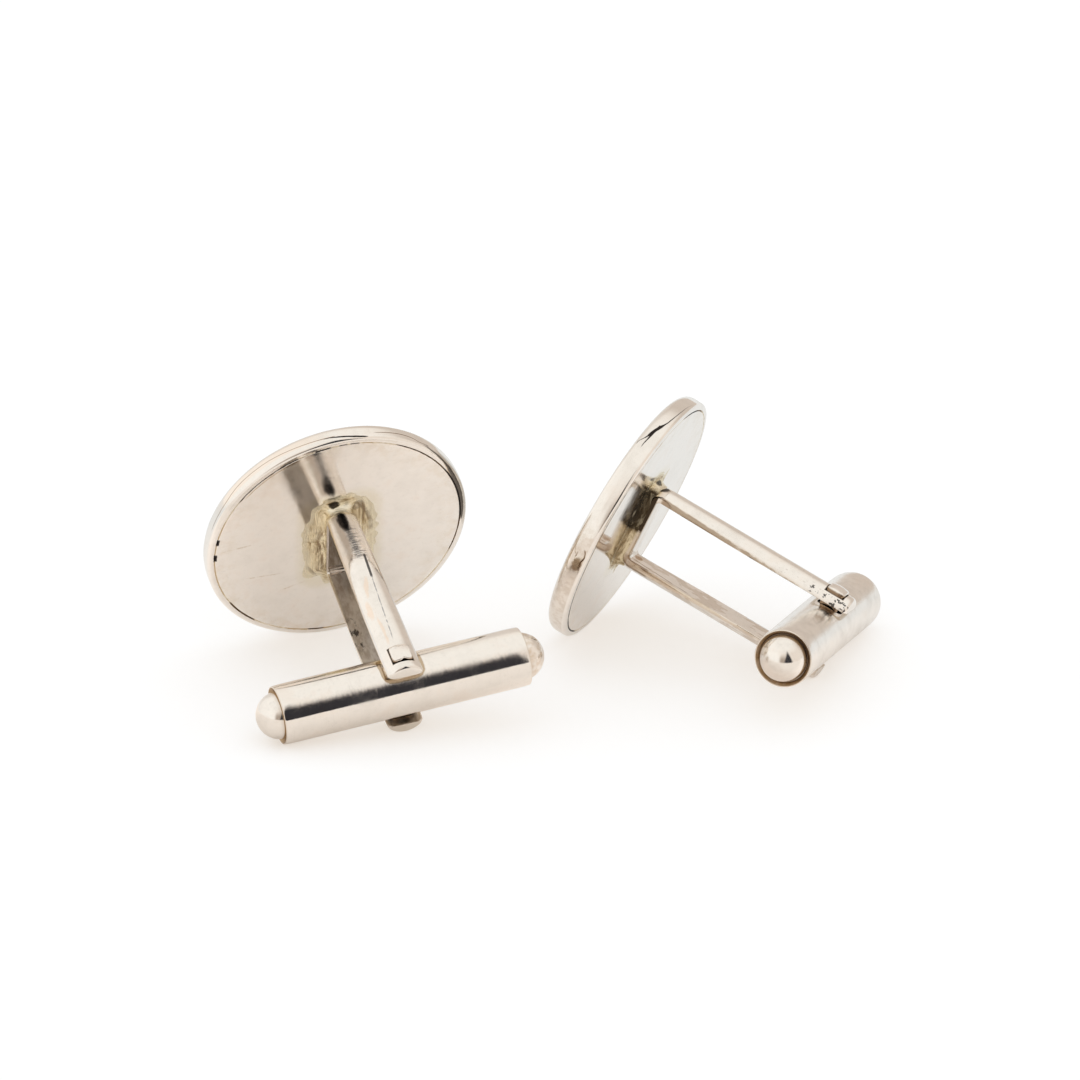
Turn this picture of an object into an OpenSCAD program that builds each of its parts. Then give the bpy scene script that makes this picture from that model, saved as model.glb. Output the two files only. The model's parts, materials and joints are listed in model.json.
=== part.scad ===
// A pair of swivel-bar cufflinks, lying on a table as they fall from the hand.
// Each link is drawn in its own frame: the middle of the back plate is the origin, +Z runs from
// the plate to the bar, +Y from the lower leg of the fork to the upper one, and +X along the bar.

/* [Head] */
// Diameter of the round face
face_d = 19; // [16:0.5:24]
// Thickness of the head, from the front face to the back of the lip
head_t = 1.6; // [1.5:0.05:2.4]
// Radius where the side wall rolls into the front face
face_round = 0.68; // [0.4:0.02:0.8]
// Radius on the outer edge of the lip behind
lip_round = 0.28; // [0.05:0.01:0.34]
// Width of the lip around the back plate
lip_w = 0.48; // [0.35:0.01:0.7]
// Thickness of the sheet that the face is pressed from
face_sheet = 0.45; // [0.3:0.05:0.6]
// Width of the ledge in the shell that carries the back plate
ledge_w = 0.35; // [0.2:0.05:0.8]
// Thickness of the back plate
plate_t = 0.5; // [0.4:0.05:0.7]
// Width of the hairline seam between plate and lip
seam_w = 0.07; // [0.04:0.01:0.12]
// Depth at which the solder stands in that seam
seam_depth = 0.1; // [0.05:0.01:0.25]

/* [Fork] */
// Gap between the two legs of the fork
fork_gap = 4.75; // [4.6:0.05:5.4]
// Thickness of the half-round wire, from its flat to its crown
leg_t = 0.9; // [0.7:0.05:1.2]
// Width of the wire where it is soldered to the plate
leg_root_w = 2.05; // [1.6:0.05:2.4]
// Width of the wire at the pin
leg_end_w = 2.7; // [2.45:0.05:3.2]
// Inside radius of the two bends
bend_r = 0.3; // [0.2:0.05:0.6]
// Height of the pin's axis over the back plate
pin_h = 15.1; // [13:0.1:20]
// Length of leg past the pin's axis
leg_past = 1.45; // [1.2:0.05:2]
// Radius of the two corners at the end of a leg, seen square on
leg_corner_r = 0.45; // [0.2:0.05:0.8]
// Radius with which the crown of a leg rolls over its end
leg_crown_r = 0.38; // [0.1:0.02:0.6]
// How far the solder stays below the flat of the foot
solder_drop = 0.1; // [0:0.05:0.3]
// How far the solder spreads over the plate round the foot
solder_spread = 1.35; // [0.9:0.05:1.6]

/* [Pin] */
// Distance across the flats of the square pin
pin_flat = 1.65; // [1.4:0.05:1.75]
// Diameter to which the corners of the pin are eased
pin_corner_d = 2.15; // [2:0.01:2.3]
// How far the peened heads stand out of the legs
pin_proud = 0.25; // [0.1:0.05:0.35]
// Radius of the dome on each head
pin_dome_r = 2.2; // [1.6:0.1:4]
// Gap round the pin in the square holes of the legs
pin_hole_gap = 0.04; // [0.02:0.01:0.08]

/* [Bar] */
// Outside diameter of the swivel tube
tube_d = 4.2; // [3.8:0.05:4.3]
// Length of the swivel tube
tube_l = 18; // [15:0.5:21]
// Wall of the swivel tube
tube_wall = 0.35; // [0.25:0.05:0.45]
// Running clearance between the pin's corners and the holes in the tube
run_gap = 0.04; // [0.02:0.01:0.08]
// Diameter of the ball on each end plug
ball_d = 3.2; // [2.8:0.05:3.4]
// Depth of the ball's centre inside the end of the tube
ball_inset = 0.1; // [0:0.05:0.4]
// Depth of the flared recess round each ball
recess_depth = 0.25; // [0.1:0.05:0.4]
// Width of the bright edge left outside the recess
tube_edge_w = 0.07; // [0.06:0.01:0.15]
// Radius on the outer edge of each end of the tube
tube_round = 0.05; // [0.02:0.01:0.06]
// Length of the stem that holds a plug in the tube
stem_l = 1.6; // [1:0.1:2.5]
// Gap between a stem and the bore of the tube
stem_gap = 0.01; // [0.01:0.01:0.03]

/* [Leaf spring] */
// Thickness of the spring strip
spring_t = 0.2; // [0.15:0.01:0.25]
// Width of the spring strip
spring_w = 1.8; // [1.4:0.1:2]
// Gap between the strip and the flat of the pin
spring_gap = 0.05; // [0.03:0.01:0.08]
// Gap between the ends of the strip and the plugs
spring_end_gap = 0.2; // [0.1:0.05:0.5]
// Gap between the edges of the strip's ends and the bore
spring_side_gap = 0.02; // [0.01:0.01:0.05]

/* [Places on the table] */
// Angle by which each bar stands off square
toggle_turn = 2; // [0:0.5:2]
// Direction in which the left link points, from head to bar
left_heading = -69.4; // [-180:0.1:180]
// Direction in which the right link points, from head to bar
right_heading = -22; // [-180:0.1:180]
// Place of the left plate's centre across the table
left_x = -14.63; // [-20:0.01:0]
// Place of the left plate's centre along the table
left_y = 1.86; // [-20:0.01:20]
// Place of the right plate's centre across the table
right_x = 6.28; // [0:0.01:20]
// Place of the right plate's centre along the table
right_y = 7.05; // [-20:0.01:20]

/* [Hidden] */
$fn = 96;

silver = [0.80, 0.78, 0.74];
bright_silver = [0.86, 0.84, 0.80];
grey_silver = [0.68, 0.66, 0.62];
yellow_solder = [0.76, 0.70, 0.50];
spring_steel = [0.52, 0.54, 0.57];

// Overrun by which every cutting solid passes the surface that it cuts
over = 0.5;

face_r = face_d / 2;
seat_r = face_r - lip_w;
plate_r = seat_r - seam_w;
ledge_r = plate_r - ledge_w;

// The crown of a leg stands this far from the middle of the fork
leg_out = fork_gap / 2 + leg_t;
leg_end_z = pin_h + leg_past;
leg_arc_r = (pow(leg_end_w / 2, 2) + pow(leg_t, 2)) / (2 * leg_t);
bend_out_r = bend_r + leg_t;

// The hollow face of the solder is an arc: it starts at this height on the wire and ends level
// with the plate
solder_h = leg_t - solder_drop;
solder_arc_r = (pow(solder_spread, 2) + pow(solder_h, 2)) / (2 * solder_h);

tube_r = tube_d / 2;
bore_r = tube_r - tube_wall;
cross_hole_r = pin_corner_d / 2 + run_gap;
ball_r = ball_d / 2;
stem_end = tube_l / 2 - recess_depth - stem_l;

// The strip is bent to an arc: its middle is on the pin's flat and its ends are on the bore
spring_half_l = stem_end - spring_end_gap;
spring_mid = pin_flat / 2 + spring_gap;
spring_end = sqrt(pow(bore_r - spring_side_gap, 2) - pow(spring_w / 2, 2)) - spring_t;
spring_rise = spring_end - spring_mid;
spring_arc_r = (pow(spring_half_l, 2) + pow(spring_rise, 2)) / (2 * spring_rise);

// A link rests on three points: the edge of its lip, the end of its lower leg, and one end of
// its bar. The lean is how far the fork dips, and the roll is how far the head turns on edge.
// These give the table's upward direction in the link's frame, and the height over the plate's
// centre of the lowest point of each of the three places.
settle_steps = 30;
first_lean = 20;
first_roll = 9;
function up_of(lean, roll) = [cos(lean) * sin(roll), cos(lean) * cos(roll), -sin(lean)];
function rim_low(u) = -u.z * lip_round - (face_r - lip_round) * norm([u.x, u.y]) - lip_round;
function leg_low(u) =
    u.z * (leg_end_z - leg_crown_r) - u.y * (leg_out - leg_arc_r)
    - (leg_arc_r - leg_crown_r) * norm([u.x, u.y]) - leg_crown_r;
function bar_low(u, end) =
    let (along = u.x * cos(toggle_turn) - u.z * sin(toggle_turn))
    u.z * pin_h + end * along * (tube_l / 2 - tube_round)
    - (tube_r - tube_round) * sqrt(1 - pow(along, 2)) - tube_round;
// The lean and the roll are corrected step by step until the three places are level
function settle(end, lean, roll, steps) =
    let (u = up_of(lean, roll))
    steps == 0 ? [lean, roll, -rim_low(u)] :
    settle(
        end,
        lean + (leg_low(u) - rim_low(u)) / leg_end_z * 180 / PI,
        roll - end * (bar_low(u, end) - leg_low(u)) / (tube_l / 2) * 180 / PI,
        steps - 1
    );
// The left bar rests on its -X end and the right one on its +X end
left_rest = settle(-1, first_lean, first_roll, settle_steps);
right_rest = settle(1, first_lean, -first_roll, settle_steps);

// Puts a link on the table at its place, heading and rest
module laid(x, y, heading, rest) {
    translate([x, y, rest[2]])
        rotate([0, 90 + rest[0], heading])
            rotate([0, 0, 90 + rest[1]])
                children();
}

module left_link() {
    laid(left_x, left_y, left_heading, left_rest) children();
}

module right_link() {
    laid(right_x, right_y, right_heading, right_rest) children();
}

// Puts a piece of the bar on the pin: the pin's axis is its Y axis
module on_pin() {
    translate([0, 0, pin_h]) rotate([0, toggle_turn, 0]) children();
}

// Half of the shell's section, from its axis to its side wall
module shell_section() {
    difference() {
        union() {
            translate([0, -head_t]) square([face_r - face_round, head_t]);
            translate([0, face_round - head_t]) square([face_r, head_t - face_round - lip_round]);
            translate([0, -head_t]) square([face_r - lip_round, head_t]);
            translate([face_r - lip_round, -lip_round]) circle(r = lip_round);
        }
        // The wall rolls into the front face
        difference() {
            translate([face_r - face_round, -head_t - over]) square([face_round + over, face_round + over]);
            translate([face_r - face_round, face_round - head_t]) circle(r = face_round);
        }
        // The seat of the plate, and the hollow behind the ledge
        translate([-over, -plate_t]) square([seat_r + over, plate_t + over]);
        translate([-over, face_sheet - head_t]) square([ledge_r + over, head_t]);
    }
}

// The face and its side wall, pressed from one sheet and turned, with the lip behind
module front_shell() {
    color(silver) rotate_extrude() shell_section();
}

// The plate that closes the shell, flush with the lip
module back_plate() {
    color(bright_silver) translate([0, 0, -plate_t]) cylinder(r = plate_r, h = plate_t);
}

// The solder that holds the plate, a little below the surface of the seam
module rim_solder() {
    color(yellow_solder)
        translate([0, 0, -plate_t])
            difference() {
                cylinder(r = seat_r, h = plate_t - seam_depth);
                translate([0, 0, -over]) cylinder(r = plate_r, h = plate_t + 2 * over);
            }
}

// Section of the half-round wire: the flat lies on y = 0 and the crown points to +Y
module wire_section() {
    intersection() {
        translate([0, leg_t - leg_arc_r]) circle(r = leg_arc_r);
        translate([-leg_end_w / 2, 0]) square([leg_end_w, leg_t]);
    }
}

// A straight leg of height h, flat on y = 0, whose crown rolls over its upper end
module leg(h) {
    intersection() {
        translate([-leg_end_w / 2, 0, 0]) cube([leg_end_w, leg_t, h]);
        translate([0, leg_t - leg_arc_r, 0])
            rotate_extrude()
                union() {
                    square([leg_arc_r, h - leg_crown_r]);
                    square([leg_arc_r - leg_crown_r, h]);
                    translate([leg_arc_r - leg_crown_r, h - leg_crown_r]) circle(r = leg_crown_r);
                }
    }
}

// The wire bent to a U of one width throughout: the foot, a bend and a leg on each side
module bent_wire() {
    foot_half = fork_gap / 2 - bend_r;
    translate([0, foot_half, leg_t]) rotate([90, 0, 0])
        linear_extrude(height = 2 * foot_half) mirror([0, 1]) wire_section();
    for (side = [0, 180]) rotate([0, 0, side]) {
        translate([0, fork_gap / 2, bend_out_r]) leg(leg_end_z - bend_out_r);
        translate([0, foot_half, bend_out_r]) rotate([0, 90, 0])
            rotate_extrude(angle = 90) translate([bend_r, 0]) rotate(-90) wire_section();
    }
}

// Outline of the fork seen along the pin: it widens from the foot to the pin, and its ends are
// nearly straight, with rounded corners
module fork_outline() {
    wide_z = pin_h - pin_flat;
    corner_x = leg_end_w / 2 - leg_corner_r;
    corner_z = leg_end_z - leg_corner_r;
    intersection() {
        polygon([
            [-leg_root_w / 2, 0], [leg_root_w / 2, 0],
            [leg_end_w / 2, wide_z], [leg_end_w / 2, leg_end_z],
            [-leg_end_w / 2, leg_end_z], [-leg_end_w / 2, wide_z]
        ]);
        union() {
            translate([-leg_end_w / 2, 0]) square([leg_end_w, corner_z]);
            translate([-corner_x, 0]) square([2 * corner_x, leg_end_z]);
            for (side = [-1, 1]) translate([side * corner_x, corner_z]) circle(r = leg_corner_r);
        }
    }
}

// The fork: one half-round wire, flat inside, with a square hole near each end for the pin
module fork() {
    hole = pin_flat + 2 * pin_hole_gap;
    reach = 2 * (leg_out + over);
    color(silver)
        difference() {
            intersection() {
                bent_wire();
                translate([0, reach / 2, 0]) rotate([90, 0, 0])
                    linear_extrude(height = reach) fork_outline();
            }
            translate([-hole / 2, -reach / 2, pin_h - hole / 2]) cube([hole, reach, hole]);
        }
}

// Half section of the solder: a hollow slope from a wall at x = core down to the plate
module solder_section(core) {
    difference() {
        square([core + solder_spread, solder_h]);
        translate([core + solder_spread, solder_arc_r]) circle(r = solder_arc_r);
    }
}

// The solder round the foot of the fork: a slope along each side and round both bends
module fork_solder() {
    core = leg_root_w / 2;
    run_half = leg_out - core;
    color(yellow_solder)
        difference() {
            union() {
                translate([0, run_half, 0]) rotate([90, 0, 0])
                    linear_extrude(height = 2 * run_half)
                        union() {
                            solder_section(core);
                            mirror([1, 0]) solder_section(core);
                        }
                for (side = [-1, 1]) translate([0, side * run_half, 0])
                    rotate_extrude() solder_section(core);
            }
            fork();
        }
}

// The square pin: its flats are the cam of the click stops, and its ends are peened to domes
module pivot_pin() {
    half = leg_out + pin_proud;
    color(grey_silver)
        translate([0, 0, pin_h])
            intersection() {
                translate([-pin_flat / 2, -half, -pin_flat / 2]) cube([pin_flat, 2 * half, pin_flat]);
                rotate([90, 0, 0]) cylinder(d = pin_corner_d, h = 2 * (half + over), center = true);
                union() {
                    for (side = [-1, 1]) translate([0, side * (half - pin_dome_r), 0]) sphere(r = pin_dome_r);
                    rotate([90, 0, 0])
                        cylinder(r = pin_dome_r, h = 2 * (half - pin_dome_r), center = true);
                }
            }
}

// A solid bar of the tube's size, turned about the Z axis, with the edge of each end eased
module tube_blank() {
    rotate_extrude()
        union() {
            translate([0, tube_round - tube_l / 2]) square([tube_r, tube_l - 2 * tube_round]);
            translate([0, -tube_l / 2]) square([tube_r - tube_round, tube_l]);
            for (end = [-1, 1]) translate([tube_r - tube_round, end * (tube_l / 2 - tube_round)])
                circle(r = tube_round);
        }
}

// The swivel tube, cross-drilled for the pin, with a flared recess in each end
module swivel_tube() {
    flare_r = tube_r - tube_edge_w;
    color(silver)
        on_pin()
            difference() {
                rotate([0, 90, 0]) tube_blank();
                rotate([0, 90, 0]) cylinder(r = bore_r, h = tube_l + 2 * over, center = true);
                for (end = [0, 180]) rotate([0, 90 + end, 0])
                    translate([0, 0, tube_l / 2 - recess_depth])
                        cylinder(r1 = bore_r, r2 = flare_r, h = recess_depth);
                rotate([90, 0, 0]) cylinder(r = cross_hole_r, h = tube_d + 2 * over, center = true);
            }
}

// A plug for one end of the tube: a stem in the bore, and the ball that shows
module end_plug(end) {
    color(bright_silver)
        on_pin()
            rotate([0, 90 * end, 0]) {
                translate([0, 0, stem_end]) cylinder(r = bore_r - stem_gap, h = stem_l);
                translate([0, 0, tube_l / 2 - ball_inset]) sphere(r = ball_r);
            }
}

// The leaf spring that lies along the bore and presses on a flat of the pin
module leaf_spring() {
    color(spring_steel)
        on_pin()
            translate([0, 0, spring_mid])
                intersection() {
                    translate([0, 0, spring_arc_r]) rotate([90, 0, 0])
                        difference() {
                            cylinder(r = spring_arc_r, h = spring_w, center = true, $fn = 720);
                            cylinder(
                                r = spring_arc_r - spring_t, h = spring_w + 2 * over,
                                center = true, $fn = 720
                            );
                        }
                    translate([-spring_half_l, -spring_w, -over])
                        cube([2 * spring_half_l, 2 * spring_w, spring_arc_r]);
                }
}

left_link() front_shell();  // left_front_shell
left_link() back_plate();  // left_back_plate
left_link() rim_solder();  // left_rim_solder
left_link() fork();  // left_fork
left_link() fork_solder();  // left_fork_solder
left_link() pivot_pin();  // left_pivot_pin
left_link() swivel_tube();  // left_swivel_tube
left_link() end_plug(-1);  // left_end_plug_a
left_link() end_plug(1);  // left_end_plug_b
left_link() leaf_spring();  // left_leaf_spring
right_link() front_shell();  // right_front_shell
right_link() back_plate();  // right_back_plate
right_link() rim_solder();  // right_rim_solder
right_link() fork();  // right_fork
right_link() fork_solder();  // right_fork_solder
right_link() pivot_pin();  // right_pivot_pin
right_link() swivel_tube();  // right_swivel_tube
right_link() end_plug(-1);  // right_end_plug_a
right_link() end_plug(1);  // right_end_plug_b
right_link() leaf_spring();  // right_leaf_spring
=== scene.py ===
# A pair of silver swivel-bar cufflinks on a white table: their fine forms, finishes, light and camera.
import json
import math

import bmesh
import bpy
import numpy as np
from mathutils import Matrix

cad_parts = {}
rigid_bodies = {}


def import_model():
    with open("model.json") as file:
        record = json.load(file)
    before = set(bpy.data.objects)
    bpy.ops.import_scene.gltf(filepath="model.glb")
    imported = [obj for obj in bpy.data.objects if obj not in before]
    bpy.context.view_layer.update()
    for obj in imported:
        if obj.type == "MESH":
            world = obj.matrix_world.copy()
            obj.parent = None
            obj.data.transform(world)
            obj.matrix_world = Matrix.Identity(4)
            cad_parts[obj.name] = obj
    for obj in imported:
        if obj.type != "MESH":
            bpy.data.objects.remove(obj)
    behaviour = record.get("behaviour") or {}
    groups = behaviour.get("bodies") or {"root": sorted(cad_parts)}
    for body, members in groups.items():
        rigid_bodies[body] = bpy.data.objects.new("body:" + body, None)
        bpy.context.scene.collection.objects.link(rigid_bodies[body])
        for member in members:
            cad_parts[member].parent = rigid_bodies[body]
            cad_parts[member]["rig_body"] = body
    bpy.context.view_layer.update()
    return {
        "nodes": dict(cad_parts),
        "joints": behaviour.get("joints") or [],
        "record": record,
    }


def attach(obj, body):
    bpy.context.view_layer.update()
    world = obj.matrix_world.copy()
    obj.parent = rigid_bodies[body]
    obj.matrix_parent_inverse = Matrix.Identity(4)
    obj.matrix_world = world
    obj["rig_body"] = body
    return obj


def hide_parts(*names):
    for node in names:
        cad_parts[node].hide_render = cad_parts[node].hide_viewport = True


for leftover in list(bpy.data.objects):
    bpy.data.objects.remove(leftover, do_unlink=True)
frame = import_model()
nodes = frame["nodes"]
scene = bpy.context.scene
scene.view_settings.view_transform = "Standard"
print("frame: %d nodes" % len(nodes))

perMetre = 1000.0  # millimetres in a metre


# Places: each link and each bar has a frame of its own, in millimetres, in which its forms are drawn
class Place:
    # origin is in metres on the table, and the columns of turn are the frame's X, Y and Z axes
    def __init__(self, origin, turn):
        self.origin = np.array(origin, float)
        self.turn = np.array(turn, float)

    # points of this frame in millimetres, to metres on the table
    def laid(self, points):
        return points / perMetre @ self.turn.T + self.origin

    # the points of a CAD node in this frame, in millimetres
    def read(self, nodeName):
        mesh = nodes[nodeName].data
        flat = np.empty(len(mesh.vertices) * 3)
        mesh.vertices.foreach_get("co", flat)
        return (flat.reshape(-1, 3) - self.origin) @ self.turn * perMetre

    # greatest coordinate of a CAD node along one axis, in millimetres
    def reach(self, nodeName, axis):
        return self.read(nodeName)[:, axis].max()


def unit(vector):
    return vector / np.linalg.norm(vector)


# A link's origin is the middle of its back plate, Z runs to the bar and Y along the pin
def linkPlace(side):
    joint = next(j for j in frame["joints"] if j["name"] == side + "_bar_turn")
    mount = next(m for m in frame["record"]["mounts"] if m["name"] == side + "_face")
    zAxis = unit(-np.array(mount["axis"]))
    xAxis = unit(np.cross(joint["axis"], zAxis))
    onFace = Place(mount["pos_m"], np.column_stack([xAxis, np.cross(zAxis, xAxis), zAxis]))
    headDepth = onFace.reach(side + "_front_shell", 2)
    return Place(onFace.laid(np.array([0, 0, headDepth])), onFace.turn)


# A bar's origin is the middle of its pin, and X runs along its tube: of all turns about the pin, the
# one at which the tube's points lie closest to X
def barPlace(side, link, widest=4.0, tries=801):
    joint = next(j for j in frame["joints"] if j["name"] == side + "_bar_turn")
    square = Place(joint["pos_m"], link.turn)
    x, y, z = square.read(side + "_swivel_tube").T
    turns = np.radians(np.linspace(-widest, widest, tries))
    reach = [np.hypot(y, x * np.sin(t) + z * np.cos(t)).max() for t in turns]
    c, s = np.cos(turns[np.argmin(reach)]), np.sin(turns[np.argmin(reach)])
    return Place(joint["pos_m"], link.turn @ np.array([(c, 0, s), (0, 1, 0), (-s, 0, c)]))


# Meshes
# Puts one or more grids of points (rows, columns, 3) into one closed mesh, in millimetres of a place
def makePiece(name, place, grids, sharpAngle=32):
    points, faces, start = [], [], 0
    for grid in grids:
        rows, columns = grid.shape[:2]
        index = start + np.arange(rows * columns).reshape(rows, columns)
        quads = np.stack([index[:-1, :-1], index[:-1, 1:], index[1:, 1:], index[1:, :-1]], axis=-1)
        points.append(grid.reshape(-1, 3))
        faces.append(quads.reshape(-1, 4))
        start += rows * columns
    mesh = bpy.data.meshes.new(name)
    mesh.from_pydata(place.laid(np.concatenate(points)).tolist(), [], np.concatenate(faces).tolist())
    tidyMesh(mesh, sharpAngle)
    piece = bpy.data.objects.new(name, mesh)
    scene.collection.objects.link(piece)
    return piece


meshing = {"mergeWithin": 1e-7, "shortestEdge": 1e-8}  # metres


# Closes seams and poles, turns the faces outwards and shades smooth up to an angle in degrees
def tidyMesh(mesh, sharpAngle):
    work = bmesh.new()
    work.from_mesh(mesh)
    bmesh.ops.remove_doubles(work, verts=work.verts, dist=meshing["mergeWithin"])
    bmesh.ops.dissolve_degenerate(work, edges=work.edges, dist=meshing["shortestEdge"])
    bmesh.ops.recalc_face_normals(work, faces=work.faces)
    work.to_mesh(mesh)
    work.free()
    mesh.shade_smooth()
    mesh.set_sharp_from_angle(angle=math.radians(sharpAngle))


# Cuts the shape of one piece out of another and removes the cutter
def cutOut(piece, cutter, sharpAngle=32):
    cut = piece.modifiers.new("cut", "BOOLEAN")
    cut.object = cutter
    cut.solver = "EXACT"
    shaped = piece.evaluated_get(bpy.context.evaluated_depsgraph_get())
    mesh = bpy.data.meshes.new_from_object(shaped)
    piece.modifiers.clear()
    piece.data = mesh
    bpy.data.objects.remove(cutter, do_unlink=True)
    mesh.shade_smooth()
    mesh.set_sharp_from_angle(angle=math.radians(sharpAngle))


# A section of corners (a, b, easing radius): each corner is an arc tangent to its two sides, and the
# straight sides are divided into steps no longer than stepLength
def easedLine(corners, stepLength, arcSteps=6):
    corners = [np.array(c, float) for c in corners]
    line = [corners[0][:2]]
    for before, here, after in zip(corners, corners[1:], corners[2:]):
        way, on = unit(before[:2] - here[:2]), unit(after[:2] - here[:2])
        half = math.acos(np.clip(way @ on, -1, 1)) / 2
        setback = here[2] / math.tan(half)
        centre = here[:2] + unit(way + on) * here[2] / math.sin(half)
        start, end = here[:2] + way * setback - centre, here[:2] + on * setback - centre
        share = np.linspace(0, 1, arcSteps + 1)[:, None]
        spread = math.pi - 2 * half
        arc = (np.sin((1 - share) * spread) * start + np.sin(share * spread) * end) / math.sin(spread)
        line.extend(centre + arc)
    line.append(corners[-1][:2])
    line = np.array(line)
    steps = np.maximum(1, np.ceil(np.linalg.norm(np.diff(line, axis=0), axis=1) / stepLength)).astype(int)
    return np.concatenate([
        *[np.linspace(a, b, n, endpoint=False) for a, b, n in zip(line[:-1], line[1:], steps)], line[-1:]
    ])


# A section of (radius, height) turned round the Z axis: x = r cos a, y = r sin a, z = height
def turned(section, steps):
    angle = np.linspace(0, 2 * np.pi, steps + 1)
    radius, height = section[:, :1], section[:, 1:]
    return np.stack([radius * np.cos(angle), radius * np.sin(angle), height + 0 * angle], axis=-1)


# The same section turned round the X axis: its heights lie along X
def turnedAlongX(section, steps):
    return turned(section, steps)[..., [2, 0, 1]]


# A smooth wavering of an angle, about -1 to 1: a sum of cosines with seeded strengths and phases
def waver(angle, lowest, highest, seed):
    draw = np.random.default_rng(seed)
    total = 0 * angle
    for turns in range(lowest, highest + 1):
        total = total + draw.uniform(0.3, 1) * np.cos(turns * angle + draw.uniform(0, 2 * np.pi))
    return total / (0.6 * (highest - lowest + 1) ** 0.5 + 0.4)


# Shader trees: sums and products of wires add Math nodes
class Wire:
    def __init__(self, sheet, socket):
        self.sheet = sheet
        self.socket = socket

    def maths(self, operation, *others):
        return self.sheet.add("ShaderNodeMath", {"operation": operation}, dict(enumerate((self, *others))))

    def __add__(self, other):
        return self.maths("ADD", other)

    def __mul__(self, other):
        return self.maths("MULTIPLY", other)

    def __sub__(self, other):
        return self.maths("SUBTRACT", other)

    def __truediv__(self, other):
        return self.maths("DIVIDE", other)

    def __rsub__(self, other):
        return (self * -1) + other

    def __abs__(self):
        return self.maths("ABSOLUTE")

    def __pow__(self, other):
        return self.maths("POWER", other)

    __radd__ = __add__
    __rmul__ = __mul__

    # 0 below low and 1 above high, with a smooth step between; low above high turns it round
    def step(self, low, high):
        return self.sheet.add(
            "ShaderNodeMapRange", {"interpolation_type": "SMOOTHSTEP"},
            {"Value": self, "From Min": low, "From Max": high},
        )

    # 1 within reach of a middle value, falling smoothly to 0 over the fade
    def near(self, middle, reach, fade):
        return abs(self - middle).step(reach + fade, reach)

    # how far an angle in degrees lies from a middle one, the short way round
    def turnFrom(self, middle):
        return (self - middle).maths("WRAP", 180.0, -180.0)

    # near, for an angle in degrees
    def arc(self, middle, reach, fade):
        return abs(self.turnFrom(middle)).step(reach + fade, reach)

    # a noise moved to lie about 0: it strays by half of this width to either side
    def stray(self, width):
        return (self - 0.5) * width

    def floored(self, lowest):
        return self.maths("MAXIMUM", lowest)

    # a smooth curve through points (value, result), level before the first and after the last
    def follow(self, points):
        (first, last), results = (points[0][0], points[-1][0]), [p[1] for p in points]
        low, span = min(results), max(results) - min(results)
        reach = {"Value": self, "From Min": first, "From Max": last}
        share = self.sheet.add("ShaderNodeMapRange", None, reach)
        stops = [((at - first) / (last - first), (result - low) / span) for at, result in points]
        return self.sheet.add("ShaderNodeFloatCurve", {"stops": stops}, {"Value": share}) * span + low


class Sheet:
    def __init__(self, owner):
        self.tree = owner.node_tree
        self.tree.nodes.clear()

    # adds a node: its settings first, then the values or wires of its sockets
    def add(self, kind, settings=None, inputs=None, output=0):
        node = self.tree.nodes.new(kind)
        for key, value in (settings or {}).items():
            if key == "stops":
                self.bend(node.mapping, value)
            else:
                setattr(node, key, value)
        for key, value in (inputs or {}).items():
            if isinstance(value, Wire):
                self.tree.links.new(value.socket, node.inputs[key])
            else:
                node.inputs[key].default_value = value
        return Wire(self, node.outputs[output] if node.outputs else None)

    # puts the points of a curve node
    def bend(self, mapping, stops):
        curve = mapping.curves[0]
        for at, value in stops[1:-1]:
            curve.points.new(at, value)
        for index, (at, value) in enumerate(stops):
            curve.points[index].location = (at, value)
            curve.points[index].handle_type = "AUTO_CLAMPED"
        mapping.update()

    # the point that is shaded, in the millimetres of a place
    def point(self, place):
        flat = self.add("ShaderNodeTexCoord", output="Object")
        back = place.turn.T
        return self.add("ShaderNodeMapping", None, {
            "Vector": flat,
            "Location": tuple(back @ place.origin * -perMetre),
            "Rotation": tuple(Matrix(back.tolist()).to_euler()),
            "Scale": (perMetre,) * 3,
        })

    def axes(self, vector):
        node = self.add("ShaderNodeSeparateXYZ", None, {0: vector}).socket.node
        return [Wire(self, socket) for socket in node.outputs]

    def vector(self, x, y, z):
        return self.add("ShaderNodeCombineXYZ", None, {0: x, 1: y, 2: z})

    def stretched(self, vector, factors):
        return self.add("ShaderNodeVectorMath", {"operation": "MULTIPLY"}, {0: vector, 1: factors})

    def shifted(self, vector, by):
        return self.add("ShaderNodeVectorMath", {"operation": "ADD"}, {0: vector, 1: by})

    def noise(self, vector, scale, detail=2.0, roughness=0.5):
        return self.add("ShaderNodeTexNoise", None, {
            "Vector": vector, "Scale": scale, "Detail": detail, "Roughness": roughness,
        })

    # a noise whose pattern is stretched
    def grain(self, vector, factors, noise):
        return self.noise(self.stretched(vector, factors), *noise)

    def cells(self, vector, scale):
        return self.add("ShaderNodeTexVoronoi", None, {"Vector": vector, "Scale": scale})

    def blend(self, share, colourA, colourB):
        return self.add("ShaderNodeMix", {"data_type": "RGBA"}, {
            0: share, 6: rgba(colourA), 7: rgba(colourB),
        }, output=2)

    def bump(self, height, distance):
        return self.add("ShaderNodeBump", None, {"Height": height, "Distance": distance / perMetre})


def rgba(colour):
    return colour if isinstance(colour, Wire) else (*colour, 1.0)


# 1 in an ellipse given by its middle and half-widths (u, v, halfU, halfV), fading to 0 past its edge
def spot(u, v, mark, fade=(1.7, 0.5)):
    across, along = (u - mark[0]) / mark[2], (v - mark[1]) / mark[3]
    return (across * across + along * along).step(*fade)


# Lays stains on a colour: each mark is a wire from 0 to 1 with the colour that shows there
def stained(sheet, colour, marks):
    for share, tint in marks:
        colour = sheet.blend(share, colour, tint)
    return colour


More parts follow.
